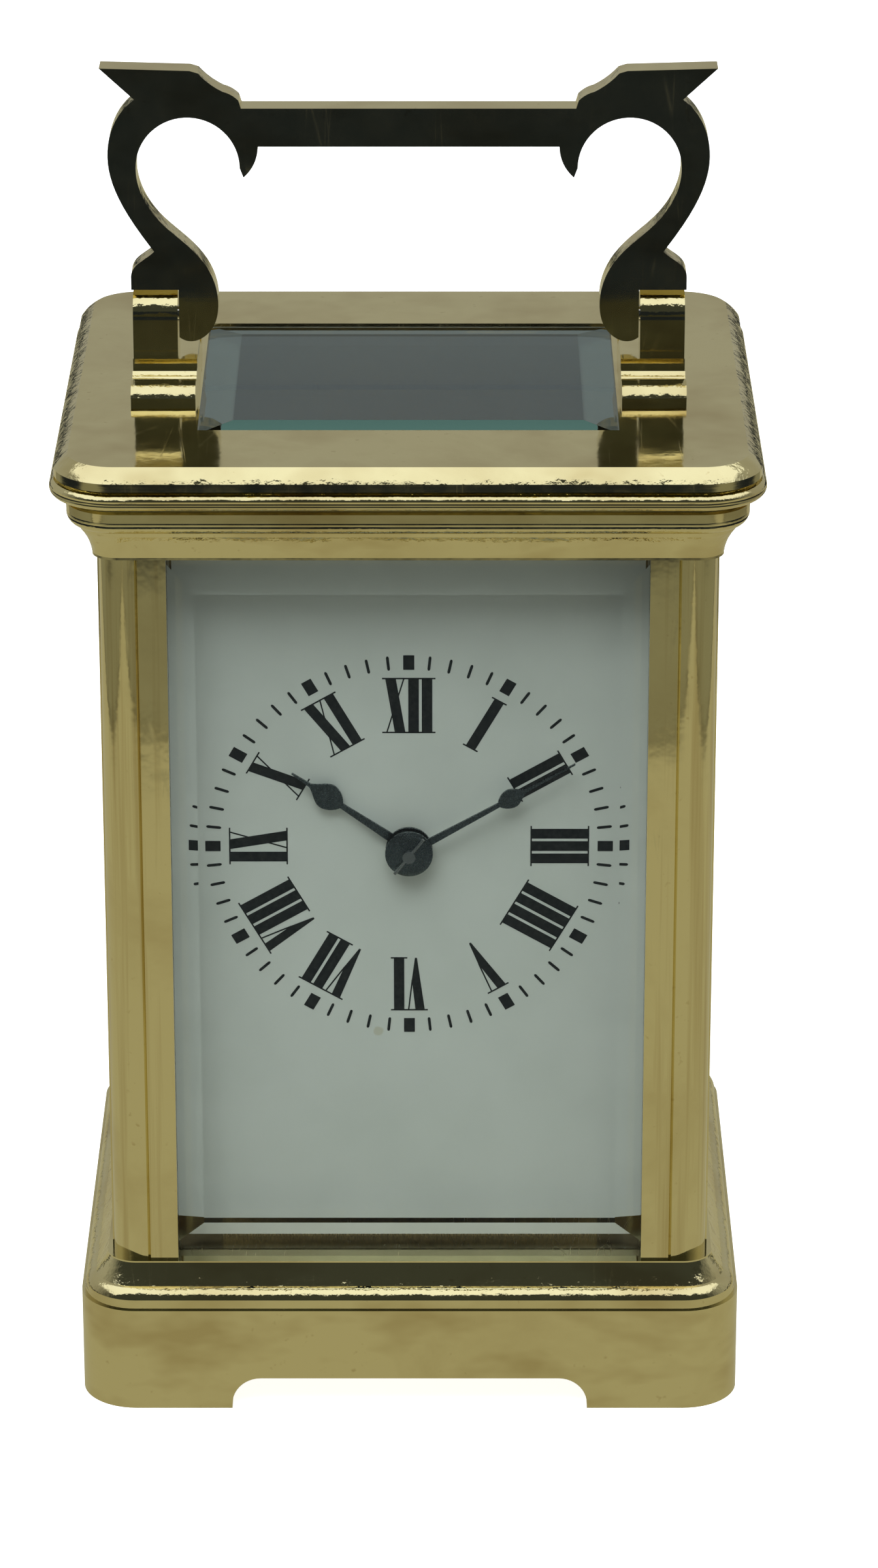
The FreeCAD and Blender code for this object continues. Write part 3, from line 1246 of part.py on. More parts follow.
def lever():
    """The anchor lever: two pallet arms one way and the fork the other, on its arbor."""
    x, y = LEVER_AXIS
    arm_x = x - PALLET_REACH / 2
    arm_y = PALLET_REACH * math.sin(math.pi / 3)
    fork_x = BALANCE_AXIS[0] - IMPULSE_RADIUS
    body = slab(
        xy(FLAT_Z),
        Z_AXIS * FLAT_THICKNESS,
        (x - 0.7, y),
        (arm_x - 0.1, y + arm_y - 0.2),
        (arm_x + 0.9, y + arm_y + 0.4),
        (x + 0.75, y + 0.35),
        (fork_x - 0.9, y + 0.3),
        (fork_x + 0.3, y + 0.75),
        (fork_x + 0.3, y + 0.3),
        (fork_x - 0.3, y + 0.3),
        (fork_x - 0.3, y - 0.3),
        (fork_x + 0.3, y - 0.3),
        (fork_x + 0.3, y - 0.75),
        (fork_x - 0.9, y - 0.3),
        (x + 0.75, y - 0.35),
        (arm_x + 0.9, y - arm_y - 0.4),
        (arm_x - 0.1, y - arm_y + 0.2),
    )
    staff = rod_z(LEVER_AXIS, PLATFORM_TOP + 0.2, COCK_LOW - 0.1, 0.3)
    pivots = rod_z(LEVER_AXIS, PLATFORM_TOP - JEWEL_HEIGHT + 0.1, COCK_TOP - 0.1, STAFF_PIVOT)
    return cut(fused(body, staff, pivots), *pallet_stones())


def pallet_stones():
    """The two ruby pallets, set where the escape wheel's tip circle passes under the arms."""
    stones = []
    for side in (-1, 1):
        stone = box(PALLET_CIRCLE, PALLET_CIRCLE + 1.1, -0.2, 0.2, FLAT_Z, FLAT_Z + FLAT_THICKNESS)
        stone.rotate(FreeCAD.Vector(0, 0, 0), Z_AXIS, side * 30)
        stone.translate(FreeCAD.Vector(ESCAPE_AXIS[0], ESCAPE_AXIS[1], 0))
        stones.append(stone)
    return stones


def balance_wheel():
    low, high = BALANCE_LOW, BALANCE_LOW + 1.0
    rim = rod_z(BALANCE_AXIS, low, high, BALANCE_RADIUS)
    rim = rim.cut(rod_z(BALANCE_AXIS, low, high, BALANCE_RADIUS - 0.9))
    x, y = BALANCE_AXIS
    reach = BALANCE_RADIUS - 0.5
    arms = box(x - reach, x + reach, y - 0.5, y + 0.5, low + 0.2, high - 0.2)
    hub = rod_z(BALANCE_AXIS, low + 0.2, high - 0.2, 1.1)
    return cut(fused(rim, arms, hub), rod_z(BALANCE_AXIS, low, high, 0.35))


def balance_staff():
    """The balance staff with its roller, impulse pin and the collet of the hairspring."""
    body = rod_z(BALANCE_AXIS, PLATFORM_TOP + 0.3, BOSS_TOP - JEWEL_HEIGHT - 0.1, 0.35)
    pivots = rod_z(BALANCE_AXIS, PLATFORM_TOP - JEWEL_HEIGHT + 0.1, BOSS_TOP - 0.1, STAFF_PIVOT)
    roller = rod_z(BALANCE_AXIS, FLAT_Z + FLAT_THICKNESS + 0.8, FLAT_Z + FLAT_THICKNESS + 1.2, 1.7)
    pin_at = (BALANCE_AXIS[0] - IMPULSE_RADIUS, BALANCE_AXIS[1])
    impulse = rod_z(pin_at, FLAT_Z + FLAT_THICKNESS + 0.15, FLAT_Z + FLAT_THICKNESS + 0.9, 0.2)
    collet = rod_z(BALANCE_AXIS, HAIRSPRING_LOW - 0.1, HAIRSPRING_LOW + 0.6, 0.8)
    return fused(body, pivots, roller, impulse, collet)


def hairspring():
    """The hairspring, held by its outer end in the stud of the balance cock."""
    return spiral(BALANCE_AXIS, xy(HAIRSPRING_LOW), Z_AXIS * 0.5, 1.0, HAIRSPRING_OUTER, 6, 0.12)


def balance_cock():
    """The cock that bridges the balance, with the hairspring's stud and a boss for the regulator."""
    x, y = BALANCE_AXIS
    top = slab(
        xy(BALANCE_COCK_LOW),
        Z_AXIS * (BALANCE_COCK_TOP - BALANCE_COCK_LOW),
        (x, y + 2.2),
        ((x - 2.2, y), (x, y - 2.2)),
        (PLATFORM_X - 0.3, y - 4.0),
        (PLATFORM_X - 0.3, y + 4.0),
    )
    foot_x = x + BALANCE_RADIUS + 1.2
    foot = box(foot_x, PLATFORM_X - 0.3, y - 3.2, y + 3.2, PLATFORM_TOP, BALANCE_COCK_LOW)
    stud_x = x + HAIRSPRING_OUTER
    stud = box(stud_x, stud_x + 0.8, y - 0.4, y + 0.4, HAIRSPRING_LOW, BALANCE_COCK_LOW)
    boss = rod_z(BALANCE_AXIS, BALANCE_COCK_LOW, BOSS_TOP, BOSS_RADIUS)
    holes = [
        rod_z(BALANCE_AXIS, BALANCE_COCK_LOW, BOSS_TOP, 0.55),
        rod_z(BALANCE_AXIS, BOSS_TOP - JEWEL_HEIGHT, BOSS_TOP, JEWEL_RADIUS),
        rod_z(BALANCE_COCK_SCREW, PLATFORM_TOP, BALANCE_COCK_TOP, SMALL_SHANK + FIT),
    ]
    return cut(fused(top, foot, stud, boss), *holes)


def regulator():
    """The index that turns about the balance cock's boss to make the clock faster or slower."""
    low, high = BALANCE_COCK_TOP + FIT, BALANCE_COCK_TOP + 0.6
    x, y = BALANCE_AXIS
    pointer = slab(xy(low), Z_AXIS * (high - low), (x + 1.5, y - 0.6), (x + 7.4, y - 0.12),
                   (x + 7.4, y + 0.12), (x + 1.5, y + 0.6))
    ring = rod_z(BALANCE_AXIS, low, high, 2.0)
    return cut(fused(ring, pointer), rod_z(BALANCE_AXIS, low, high, BOSS_RADIUS + FIT))


def jewels():
    """The ruby bearings pressed into the platform and the cocks."""
    places = [
        (ESCAPE_AXIS, COCK_TOP, ESCAPE_PIVOT),
        (LEVER_AXIS, COCK_TOP, STAFF_PIVOT),
        (LEVER_AXIS, PLATFORM_TOP, STAFF_PIVOT),
        (BALANCE_AXIS, PLATFORM_TOP, STAFF_PIVOT),
        (BALANCE_AXIS, BOSS_TOP, STAFF_PIVOT),
    ]
    return [
        rod_z(at, top - JEWEL_HEIGHT, top, JEWEL_RADIUS).cut(
            rod_z(at, top - JEWEL_HEIGHT, top, pivot + FIT)
        )
        for at, top, pivot in places
    ]


def small_screws():
    """The small screws of the platform, its cocks, the click spring and the top glass clips."""
    down = Z_AXIS * -1
    places = [((*at, PLATFORM_TOP), down, 4.3) for at in [*PLATFORM_FRONT_SCREWS, *PLATFORM_BACK_SCREWS]]
    places.append(((*POTENCE_SCREW, PLATFORM_TOP), down, 4.3))
    places.append(((*COCK_SCREW, COCK_TOP), down, 4.9))
    places.append(((*BALANCE_COCK_SCREW, BALANCE_COCK_TOP), down, BALANCE_COCK_TOP - PLATE_TOP_Z - 0.5))
    x, z = CLICK_SPRING_SCREW
    places.append(((x, RATCHET_Y + RATCHET_THICKNESS, z), Y_AXIS * -1, 3.4))
    clip_z = PLATE_UNDER_Z - CLIP_THICKNESS
    clip_screw = CLIP_THICKNESS + CLIP_SCREW
    return set_back([small_screw(*place) for place in places]) + [
        small_screw((x, y, clip_z), Z_AXIS, clip_screw) for x, y in CLIP_SCREWS_AT
    ]


def small_screw(point, axis, length):
    return screw(point, axis, SMALL_HEAD, SMALL_HEAD_HEIGHT, SMALL_SHANK, length)


def set_back(solids):
    """Solids drawn in the movement's frame, moved to their place in the case."""
    for solid in solids:
        solid.translate(FreeCAD.Vector(0, MOVEMENT_SETBACK, -MOVEMENT_DROP))
    return solids


# ---------------------------------------------------------------- the finished pieces
CASE_PIECES = {
    "base": base,
    "pillar_front_left": pillar,
    "pillar_front_right": lambda: mirrored(pillar(), X_AXIS),
    "pillar_rear_left": rear_pillar,
    "pillar_rear_right": lambda: mirrored(rear_pillar(), X_AXIS),
    "cornice": cornice,
    "front_glass": front_glass,
    "left_glass": left_glass,
    "right_glass": lambda: mirrored(left_glass(), X_AXIS),
    "top_glass": top_glass,
    "top_glass_clips": top_glass_clips,
    "case_screws": case_screws,
    "bracket_right": bracket,
    "bracket_left": lambda: mirrored(bracket(), X_AXIS),
    "bracket_screws": bracket_screws,
    "handle": handle,
    "handle_pivot_screws": handle_pivot_screws,
    "door_frame": door_frame,
    "door_glass": door_glass,
    "door_knob": door_knob,
    "small_screws": small_screws,
}

MOVEMENT_PIECES = {
    "dial": dial,
    "front_plate": front_plate,
    "back_plate": back_plate,
    "plate_pillars": plate_pillars,
    "plate_screws": plate_screws,
    "barrel": barrel,
    "barrel_cover": barrel_cover,
    "mainspring": mainspring,
    "barrel_arbor": barrel_arbor,
    "ratchet_wheel": ratchet_wheel,
    "click": click,
    "click_spring": click_spring,
    "intermediate_wheel": intermediate_wheel,
    "intermediate_arbor": intermediate_arbor,
    "centre_wheel": centre_wheel,
    "centre_arbor": centre_arbor,
    "third_wheel": third_wheel,
    "third_arbor": third_arbor,
    "contrate_wheel": contrate_wheel,
    "contrate_arbor": contrate_arbor,
    "cannon_pinion": cannon_pinion,
    "minute_wheel": minute_wheel,
    "hour_wheel": hour_wheel,
    "hour_hand": hour_hand,
    "minute_hand": minute_hand,
    "hand_collet": hand_collet,
    "hand_pin": hand_pin,
    "platform": platform,
    "potence": potence,
    "escape_wheel": escape_wheel,
    "escape_cock": escape_cock,
    "lever": lever,
    "pallet_stones": pallet_stones,
    "balance_wheel": balance_wheel,
    "balance_staff": balance_staff,
    "hairspring": hairspring,
    "balance_cock": balance_cock,
    "regulator": regulator,
    "jewels": jewels,
}


def solids_of(made):
    return made if isinstance(made, list) else made.Solids


def export(name, solids):
    Part.makeCompound(solids).exportStep(f"parts/{name}.step")


os.makedirs("parts", exist_ok=True)
for name, make in CASE_PIECES.items():
    export(name, solids_of(make()))
for name, make in MOVEMENT_PIECES.items():
    export(name, set_back(solids_of(make())))
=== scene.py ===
"""The looks of the carriage clock: materials, the painted dial, stage, lights and camera."""

import json
import math

import bpy
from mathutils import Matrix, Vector


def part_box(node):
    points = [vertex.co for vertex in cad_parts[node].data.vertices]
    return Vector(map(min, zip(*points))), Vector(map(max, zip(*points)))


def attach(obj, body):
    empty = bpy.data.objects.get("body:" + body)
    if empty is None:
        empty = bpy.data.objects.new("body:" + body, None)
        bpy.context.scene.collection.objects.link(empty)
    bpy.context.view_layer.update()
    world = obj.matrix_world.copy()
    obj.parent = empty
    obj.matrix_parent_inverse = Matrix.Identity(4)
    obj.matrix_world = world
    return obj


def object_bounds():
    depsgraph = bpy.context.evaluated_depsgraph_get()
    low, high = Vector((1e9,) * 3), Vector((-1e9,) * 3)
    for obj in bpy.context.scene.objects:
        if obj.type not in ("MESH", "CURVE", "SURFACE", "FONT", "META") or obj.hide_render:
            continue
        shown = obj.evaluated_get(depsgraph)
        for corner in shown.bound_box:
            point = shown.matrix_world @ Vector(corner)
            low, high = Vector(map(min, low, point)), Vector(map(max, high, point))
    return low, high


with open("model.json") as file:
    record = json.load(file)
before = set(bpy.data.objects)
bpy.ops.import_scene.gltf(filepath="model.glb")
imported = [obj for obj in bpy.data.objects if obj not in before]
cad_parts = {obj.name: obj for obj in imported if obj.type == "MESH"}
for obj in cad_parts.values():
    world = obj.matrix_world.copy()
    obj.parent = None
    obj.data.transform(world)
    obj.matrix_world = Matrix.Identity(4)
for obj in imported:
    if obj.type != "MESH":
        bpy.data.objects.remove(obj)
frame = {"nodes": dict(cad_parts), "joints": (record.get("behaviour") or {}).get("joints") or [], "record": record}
CAD_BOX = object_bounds()

MM = 0.001
WIDTH = CAD_BOX[1].x - CAD_BOX[0].x
DEPTH = CAD_BOX[1].y - CAD_BOX[0].y
HEIGHT = CAD_BOX[1].z - CAD_BOX[0].z
JOINTS = {joint["name"]: Vector(joint["pos_m"]) for joint in frame["joints"]}
HANDS = JOINTS["centre_turn"]
DIAL_LOW, DIAL_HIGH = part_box("dial")
DIAL_FRONT = DIAL_LOW.y

# The painted dial, in shares of the radius of its minute track
TRACK_RADIUS = 0.841 * (DIAL_HIGH.x - DIAL_LOW.x) / 2
MINUTES = 60
HOURS = 12
TICK_LENGTH = 0.076 * TRACK_RADIUS
TICK_WIDTH = 0.0145 * TRACK_RADIUS
SQUARE_LENGTH = 0.078 * TRACK_RADIUS
SQUARE_WIDTH = 0.056 * TRACK_RADIUS
NUMERAL_FOOT = 0.622 * TRACK_RADIUS
NUMERAL_HEAD = 0.914 * TRACK_RADIUS
STROKE = 0.0535 * TRACK_RADIUS
STROKE_GAP = 0.0145 * TRACK_RADIUS
HAIRLINE = 0.0075 * TRACK_RADIUS
SERIF_REACH = 0.016 * TRACK_RADIUS
V_JOIN = NUMERAL_FOOT + 0.42 * (NUMERAL_HEAD - NUMERAL_FOOT)
PAINT_RISE = 0.03 * MM
PAINT_SHARES = (1.0, 0.7, 0.85)  # of that rise, for thick strokes, hairlines and serifs
PAINT_ROOT = 0.02 * MM

# The camera, in shares of the clock's height and width
CAMERA_PITCH = math.radians(22)
CAMERA_DISTANCE = 4.5025 * HEIGHT
CAMERA_AIM_HEIGHT = 0.428 * HEIGHT
CAMERA_AIM_SIDE = 0.0431 * WIDTH
CAMERA_LENS = 133.5
CAMERA_SENSOR = 36.0

# The part of the case that lies between the panes, where brass is duller and darkened with painted shade
GLASS_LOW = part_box("front_glass")[0]
SIDE_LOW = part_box("left_glass")[0]
TOP_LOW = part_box("top_glass")[0]
SOFT = 0.2 * MM
INSIDE_X = -SIDE_LOW.x - SOFT
INSIDE_Y = -GLASS_LOW.y - SOFT
CORNER_CUT = 4.5 * MM
INSIDE_CORNER = INSIDE_X + INSIDE_Y - CORNER_CUT  # the sum of x and y, inside the rounded corners
INSIDE_LOW = GLASS_LOW.z
INSIDE_HIGH = TOP_LOW.z

# Linear colours. The surroundings differ for the camera, for brass and for glass, because each of them
# was matched to the photograph by itself.
WHITE = (1.0, 1.0, 1.0)
BRASS = (0.80, 0.715, 0.40)
TARNISH = (0.50, 0.38, 0.16)
# painted shade: the colour of brass between the panes, darkened for the shade inside the case
INDOOR_PAINTED_SHADE = (0.13, 0.10, 0.055)
CEILING = (1.12, 1.16, 1.20)
BACK_WALL = (0.37, 0.37, 0.33)
FRONT_WALL = (0.045, 0.05, 0.045)
WALL_IN_GLASS = (0.35, 0.44, 0.43)  # what the bevels of the top glass show
DOORWAY = (0.23, 0.275, 0.285)  # what its flat middle shows
WINDOW = (0.95, 2.1, 1.75)  # a green glow high on the back wall, which its front bevel shows
# Painted light: the floor is no lamp, but to all rays except the camera's it glows with these colours
SHEET_IN_BRASS = (0.41, 0.39, 0.27)
SHEET_EDGE = (0.13, 0.12, 0.08)  # the shade under the sheet's raised edge
TABLE_IN_BRASS = (0.235, 0.23, 0.165)
BEYOND_TABLE = (0.012, 0.016, 0.022)
SHEET_ON_DIAL = (0.51, 0.51, 0.525)
SHEET_IN_GLASS = (0.07, 0.08, 0.08)

# The stage
FLOOR_HALF = 12.0
FLOOR_GLOW = 0.88

# In the brass, how far the sheet that the clock stands on, its edge and the table reach from the clock
SHEET_REACH = 0.212
EDGE_REACH = SHEET_REACH + 8 * MM
TABLE_REACH = 0.300
SHEET_FADE = 6 * MM
EDGE_FADE = 8 * MM
TABLE_FADE = 30 * MM
GLASS_FADE = 20 * MM  # in the panes, what lies in front of the clock starts softly

# The room, as the two ends of each soft edge. The ceiling's edges are where a ray meets a ceiling one
# unit up, and the others are parts of a ray's direction.
CEILING_SHIFT = 0.10
CEILING_DEEP = (0.56, 0.70)
CEILING_WIDE = (1.0, 1.5)
LOWEST_RISE = 0.01
WINDOW_SILL = (0.46, 0.49)
WINDOW_TOP = (0.60, 0.63)
WINDOW_BEHIND = (0.60, 0.66)
WINDOW_SIDE = (0.10, 0.14)
DOORWAY_SIDE = (0.060, 0.080)
DOORWAY_FOOT = (0.26, 0.31)
FRONT_TO_BACK = (-0.5, 0.3)


# ---------------------------------------------------------------- node helpers


class Nodes:
    """A node tree, with short calls for the nodes that the materials and the room use."""

    def __init__(self, tree):
        self.tree = tree

    def add(self, kind, **values):
        """A node of that kind; inputs are given by name, with _ for a space, as values or sockets."""
        node = self.tree.nodes.new(kind)
        for name, value in values.items():
            self.put(node, name.replace("_", " "), value)
        return node

    def put(self, node, name, value):
        """Gives an input, which is named or numbered, a value or links it to a socket."""
        socket = node.inputs[name]
        if isinstance(value, bpy.types.NodeSocket):
            self.tree.links.new(value, socket)
        else:
            socket.default_value = value

    def maths(self, operation, *terms):
        """The result of a maths operation on its terms, which are values or sockets."""
        node = self.tree.nodes.new("ShaderNodeMath")
        node.operation = operation
        for place, term in enumerate(terms):
            self.put(node, place, term)
        return node.outputs[0]

    def place(self):
        """Where a point is on its piece, in metres: it goes along when the piece moves."""
        return self.add("ShaderNodeTexCoord").outputs["Object"]

    def stretched(self, scale):
        """The place, multiplied by a scale for each axis."""
        node = self.tree.nodes.new("ShaderNodeMapping")
        self.tree.links.new(self.place(), node.inputs["Vector"])
        node.inputs["Scale"].default_value = scale
        return node.outputs["Vector"]

    def noise(self, scale, detail=3.0, roughness=0.55, distortion=0.0, vector=None):
        """Soft noise about 0.5. scale is how often it changes per metre, or per unit of vector."""
        node = self.add(
            "ShaderNodeTexNoise",
            Vector=vector or self.place(),
            Scale=scale,
            Detail=detail,
            Roughness=roughness,
            Distortion=distortion,
        )
        return node.outputs["Fac"]

    def span(self, value, low, high, to_low=0.0, to_high=1.0):
        """value, taken from low..high to to_low..to_high and held there."""
        node = self.tree.nodes.new("ShaderNodeMapRange")
        self.tree.links.new(value, node.inputs["Value"])
        node.inputs["From Min"].default_value = low
        node.inputs["From Max"].default_value = high
        node.inputs["To Min"].default_value = to_low
        node.inputs["To Max"].default_value = to_high
        return node.outputs["Result"]

    def blend(self, share, first, second):
        """A colour that goes from first to second as share goes from 0 to 1."""
        node = self.tree.nodes.new("ShaderNodeMix")
        node.data_type = "RGBA"
        self.tree.links.new(share, node.inputs["Factor"])
        for place, colour in ((6, first), (7, second)):
            is_socket = isinstance(colour, bpy.types.NodeSocket)
            self.put(node, place, colour if is_socket else (*colour, 1.0))
        return node.outputs[2]

    def choose(self, share, first, second):
        """A shader that goes from first to second as share goes from 0 to 1."""
        node = self.tree.nodes.new("ShaderNodeMixShader")
        for place, socket in enumerate((share, first, second)):
            self.tree.links.new(socket, node.inputs[place])
        return node.outputs[0]

    def product(self, *factors):
        """All the factors multiplied together."""
        total = factors[0]
        for factor in factors[1:]:
            total = self.maths("MULTIPLY", total, factor)
        return total

    def below(self, value, edge):
        """1 where value is under the soft edge (from, to), 0 past it."""
        return self.span(value, *edge, 1.0, 0.0)

    def scratches(self, scale, width, turn):
        """1 on thin straight scratches that run one way, 0 elsewhere."""
        mapping = self.tree.nodes.new("ShaderNodeMapping")
        self.tree.links.new(self.place(), mapping.inputs["Vector"])
        mapping.inputs["Rotation"].default_value = turn
        mapping.inputs["Scale"].default_value = (1.0, 0.06, 0.06)
        cells = self.tree.nodes.new("ShaderNodeTexVoronoi")
        cells.feature = "DISTANCE_TO_EDGE"
        self.tree.links.new(mapping.outputs["Vector"], cells.inputs["Vector"])
        cells.inputs["Scale"].default_value = scale
        return self.span(cells.outputs["Distance"], 0.0, width, 1.0, 0.0)

    def sum(self, *terms):
        """The sum of (value, weight) pairs."""
        total = None
        for value, weight in terms:
            term = self.maths("MULTIPLY", value, weight)
            total = term if total is None else self.maths("ADD", total, term)
        return total

    def inside_case(self):
        """1 on surfaces that lie between the panes, 0 on the outside of the case."""
        place = self.add("ShaderNodeSeparateXYZ", Vector=self.place())
        x = self.maths("ABSOLUTE", place.outputs["X"])
        y = self.maths("ABSOLUTE", place.outputs["Y"])
        z = place.outputs["Z"]
        return self.product(
            self.below(self.maths("ADD", x, y), (INSIDE_CORNER - SOFT, INSIDE_CORNER)),
            self.below(x, (INSIDE_X - SOFT, INSIDE_X)),
            self.below(y, (INSIDE_Y - SOFT, INSIDE_Y)),
            self.span(z, INSIDE_LOW - SOFT, INSIDE_LOW),
            self.below(z, (INSIDE_HIGH - SOFT, INSIDE_HIGH)),
        )

    def moulding(self):
        """1 where a surface leans, as on rounded edges, 0 where it is level or upright."""
        normal = self.add("ShaderNodeTexCoord").outputs["Normal"]
        level = self.maths("ABSOLUTE", self.add("ShaderNodeSeparateXYZ", Vector=normal).outputs["Z"])
        not_upright = self.span(level, 0.15, 0.35)
        not_level = self.below(level, (0.90, 0.98))
        return self.maths("MULTIPLY", not_upright, not_level)

    def bump(self, height, strength, distance):
        """A normal that is tilted by a height."""
        node = self.add("ShaderNodeBump", Height=height, Strength=strength, Distance=distance)
        return node.outputs["Normal"]

    def output(self, shader):
        """Ends the material with a shader."""
        end = self.tree.nodes.new("ShaderNodeOutputMaterial")
        self.tree.links.new(shader, end.inputs["Surface"])


def new_material(name):
    """An empty material and its node helper."""
    material = bpy.data.materials.new(name)
    material.use_nodes = True
    material.node_tree.nodes.clear()
    return material, Nodes(material.node_tree)


def principled(nodes, **values):
    """A surface of Blender's general kind."""
    return nodes.add("ShaderNodeBsdfPrincipled", **values).outputs["BSDF"]


# ------------------------------------------------------------------- materials


def tarnish(nodes, streak):
    """How tarnished brass is: in clouds, streaks and freckles, whichever is strongest."""
    streaky = nodes.noise(1.0, 3.0, 0.6, 0.0, nodes.stretched(streak))
    clouds = nodes.span(nodes.noise(55.0, 5.0, 0.6, 0.4), 0.50, 0.74, 0.0, 0.34)
    streaks = nodes.span(streaky, 0.47, 0.68, 0.0, 0.55)
    freckles = nodes.span(nodes.noise(900.0, 2.0, 0.5), 0.68, 0.78, 0.0, 0.45)
    return nodes.maths("MAXIMUM", nodes.maths("MAXIMUM", clouds, streaks), freckles)


def cleaning_lines(nodes):
    """1 on the thin scratches that cleaning left: they run two ways and lie in patches."""
    along = nodes.scratches(240.0, 0.012, (0.2, 0.1, 0.35))
    across = nodes.scratches(170.0, 0.010, (0.5, 0.3, 1.4))
    patches = nodes.span(nodes.noise(130.0, 2.0), 0.45, 0.65)
    return nodes.maths("MULTIPLY", nodes.maths("MAXIMUM", along, across), patches)


def worn_height(nodes, grain, lines):
    """The height of worn brass, in metres: waves, dents on rounded edges, polishing grain, scratches."""
    deep_dents = nodes.noise(260.0, 2.0, 0.5)
    dents = nodes.sum((deep_dents, 0.22 * MM), (nodes.noise(1400.0, 2.0), 0.06 * MM))
    return nodes.sum(
        (nodes.noise(38.0, 2.0, 0.45), 0.20 * MM),
        (nodes.noise(420.0, 2.0, 0.5), 0.012 * MM),
        (nodes.maths("MULTIPLY", dents, nodes.moulding()), 1.0),
        (nodes.noise(1.0, 3.0, 0.6, 0.0, nodes.stretched(grain)), 0.0022 * MM),
        (lines, -0.002 * MM),
    )


def brass_material(name, grain, streak):
    """Polished brass with tarnish, scratches and worn edges; indoors it is duller, and its colour is darkened with
    painted shade.

    grain is how often the polishing lines change along each axis, per metre, and streak is the same
    for the streaks of tarnish.
    """
    material, nodes = new_material(name)
    inside = nodes.inside_case()
    bright = nodes.blend(tarnish(nodes, streak), BRASS, TARNISH)
    lines = cleaning_lines(nodes)
    smooth = nodes.span(nodes.noise(260.0, 4.0, 0.6), 0.3, 0.75, 0.05, 0.12)
    outdoors = nodes.maths("ADD", smooth, nodes.maths("MULTIPLY", lines, 0.10))
    shader = principled(
        nodes,
        # between the panes the colour goes to painted shade, and the roughness rises
        Base_Color=nodes.blend(inside, bright, INDOOR_PAINTED_SHADE),
        Metallic=1.0,
        Roughness=nodes.maths("ADD", outdoors, nodes.maths("MULTIPLY", inside, 0.30)),
        Normal=nodes.bump(worn_height(nodes, grain, lines), 1.0, 1.0),
    )
    nodes.output(shader)
    return material


def movement_brass():
    """The plates and wheels inside: grained brass, matt lacquer, a little tarnish."""
    material, nodes = new_material("movement_brass")
    grain = nodes.noise(1.0, 3.0, 0.6, 0.0, nodes.stretched((9000.0, 9000.0, 700.0)))
    clouds = nodes.noise(90.0, 4.0, 0.6)
    shader = principled(
        nodes,
        Base_Color=nodes.blend(
            nodes.span(clouds, 0.4, 0.75, 0.0, 0.6), (0.78, 0.60, 0.28), (0.55, 0.36, 0.15)
        ),
        Metallic=1.0,
        Roughness=nodes.span(grain, 0.3, 0.7, 0.20, 0.34),
        Normal=nodes.bump(grain, 0.08, 0.02 * MM),
    )
    nodes.output(shader)
    return material


def steel_material(name, colour, dark, shine, dull):
    """Polished or blued steel with a fine grain and a faint cloud."""
    material, nodes = new_material(name)
    grain = nodes.noise(1.0, 2.0, 0.6, 0.0, nodes.stretched((6000.0, 800.0, 6000.0)))
    clouds = nodes.noise(300.0, 3.0, 0.6)
    shader = principled(
        nodes,
        Base_Color=nodes.blend(nodes.span(clouds, 0.35, 0.75), colour, dark),
        Metallic=1.0,
        Roughness=nodes.span(grain, 0.3, 0.7, shine, dull),
        Normal=nodes.bump(grain, 0.08, 0.01 * MM),
    )
    nodes.output(shader)
    return material


def glass_material(name, tint):
    """Clear old plate glass with faint cloudy patches; lamps reach what is behind it."""
    material, nodes = new_material(name)
    clouds = nodes.span(nodes.noise(120.0, 4.0, 0.6), 0.4, 0.8)
    pane = principled(
        nodes,
        Base_Color=nodes.blend(clouds, tint, [0.96 * part for part in tint]),
        Roughness=0.0,
        IOR=1.5,
        Transmission_Weight=1.0,
    )
    clear = nodes.add("ShaderNodeBsdfTransparent", Color=(*tint, 1.0)).outputs["BSDF"]
    lamp_ray = nodes.add("ShaderNodeLightPath").outputs["Is Shadow Ray"]
    nodes.output(nodes.choose(lamp_ray, pane, clear))
    return material


def age_spot(nodes, centre):
    """How much of a small spot with a ragged edge shows, round a point of the dial."""
    apart = nodes.tree.nodes.new("ShaderNodeVectorMath")
    apart.operation = "DISTANCE"
    nodes.put(apart, 0, nodes.place())
    nodes.put(apart, 1, centre)
    ragged = nodes.maths("MULTIPLY_ADD", nodes.noise(1500.0, 3.0), 0.5 * MM, apart.outputs["Value"])
    return nodes.span(ragged, 0.75 * MM, 0.95 * MM, 0.55, 0.0)


def enamel_material():
    """The white enamel dial: faint cloudiness, a fine orange peel, and one small age spot."""
    material, nodes = new_material("enamel")
    clouds = nodes.span(nodes.noise(60.0, 5.0, 0.6), 0.35, 0.75)
    base = nodes.blend(clouds, (0.80, 0.82, 0.78), (0.74, 0.765, 0.72))
    below_six = (HANDS.x - 0.16 * TRACK_RADIUS, DIAL_FRONT, HANDS.z - 1.035 * TRACK_RADIUS)
    spot = age_spot(nodes, below_six)
    shader = principled(
        nodes,
        Base_Color=nodes.blend(spot, base, (0.62, 0.58, 0.42)),
        Roughness=0.22,
        IOR=1.5,
        Coat_Weight=0.2,
        Coat_Roughness=0.08,
        Normal=nodes.bump(nodes.noise(420.0, 2.0), 0.05, 0.05 * MM),
    )
    nodes.output(shader)
    return material


def paint_material():
    """The black numerals, fired on: a little uneven, with a soft gloss."""
    material, nodes = new_material("dial_paint")
    patches = nodes.span(nodes.noise(1400.0, 4.0, 0.65), 0.35, 0.75)
    shader = principled(
        nodes,
        Base_Color=nodes.blend(patches, (0.010, 0.011, 0.013), (0.026, 0.028, 0.029)),
        Roughness=nodes.span(patches, 0.0, 1.0, 0.35, 0.5),
        IOR=1.3,
        Normal=nodes.bump(patches, 0.2, 0.01 * MM),
    )
    nodes.output(shader)
    return material


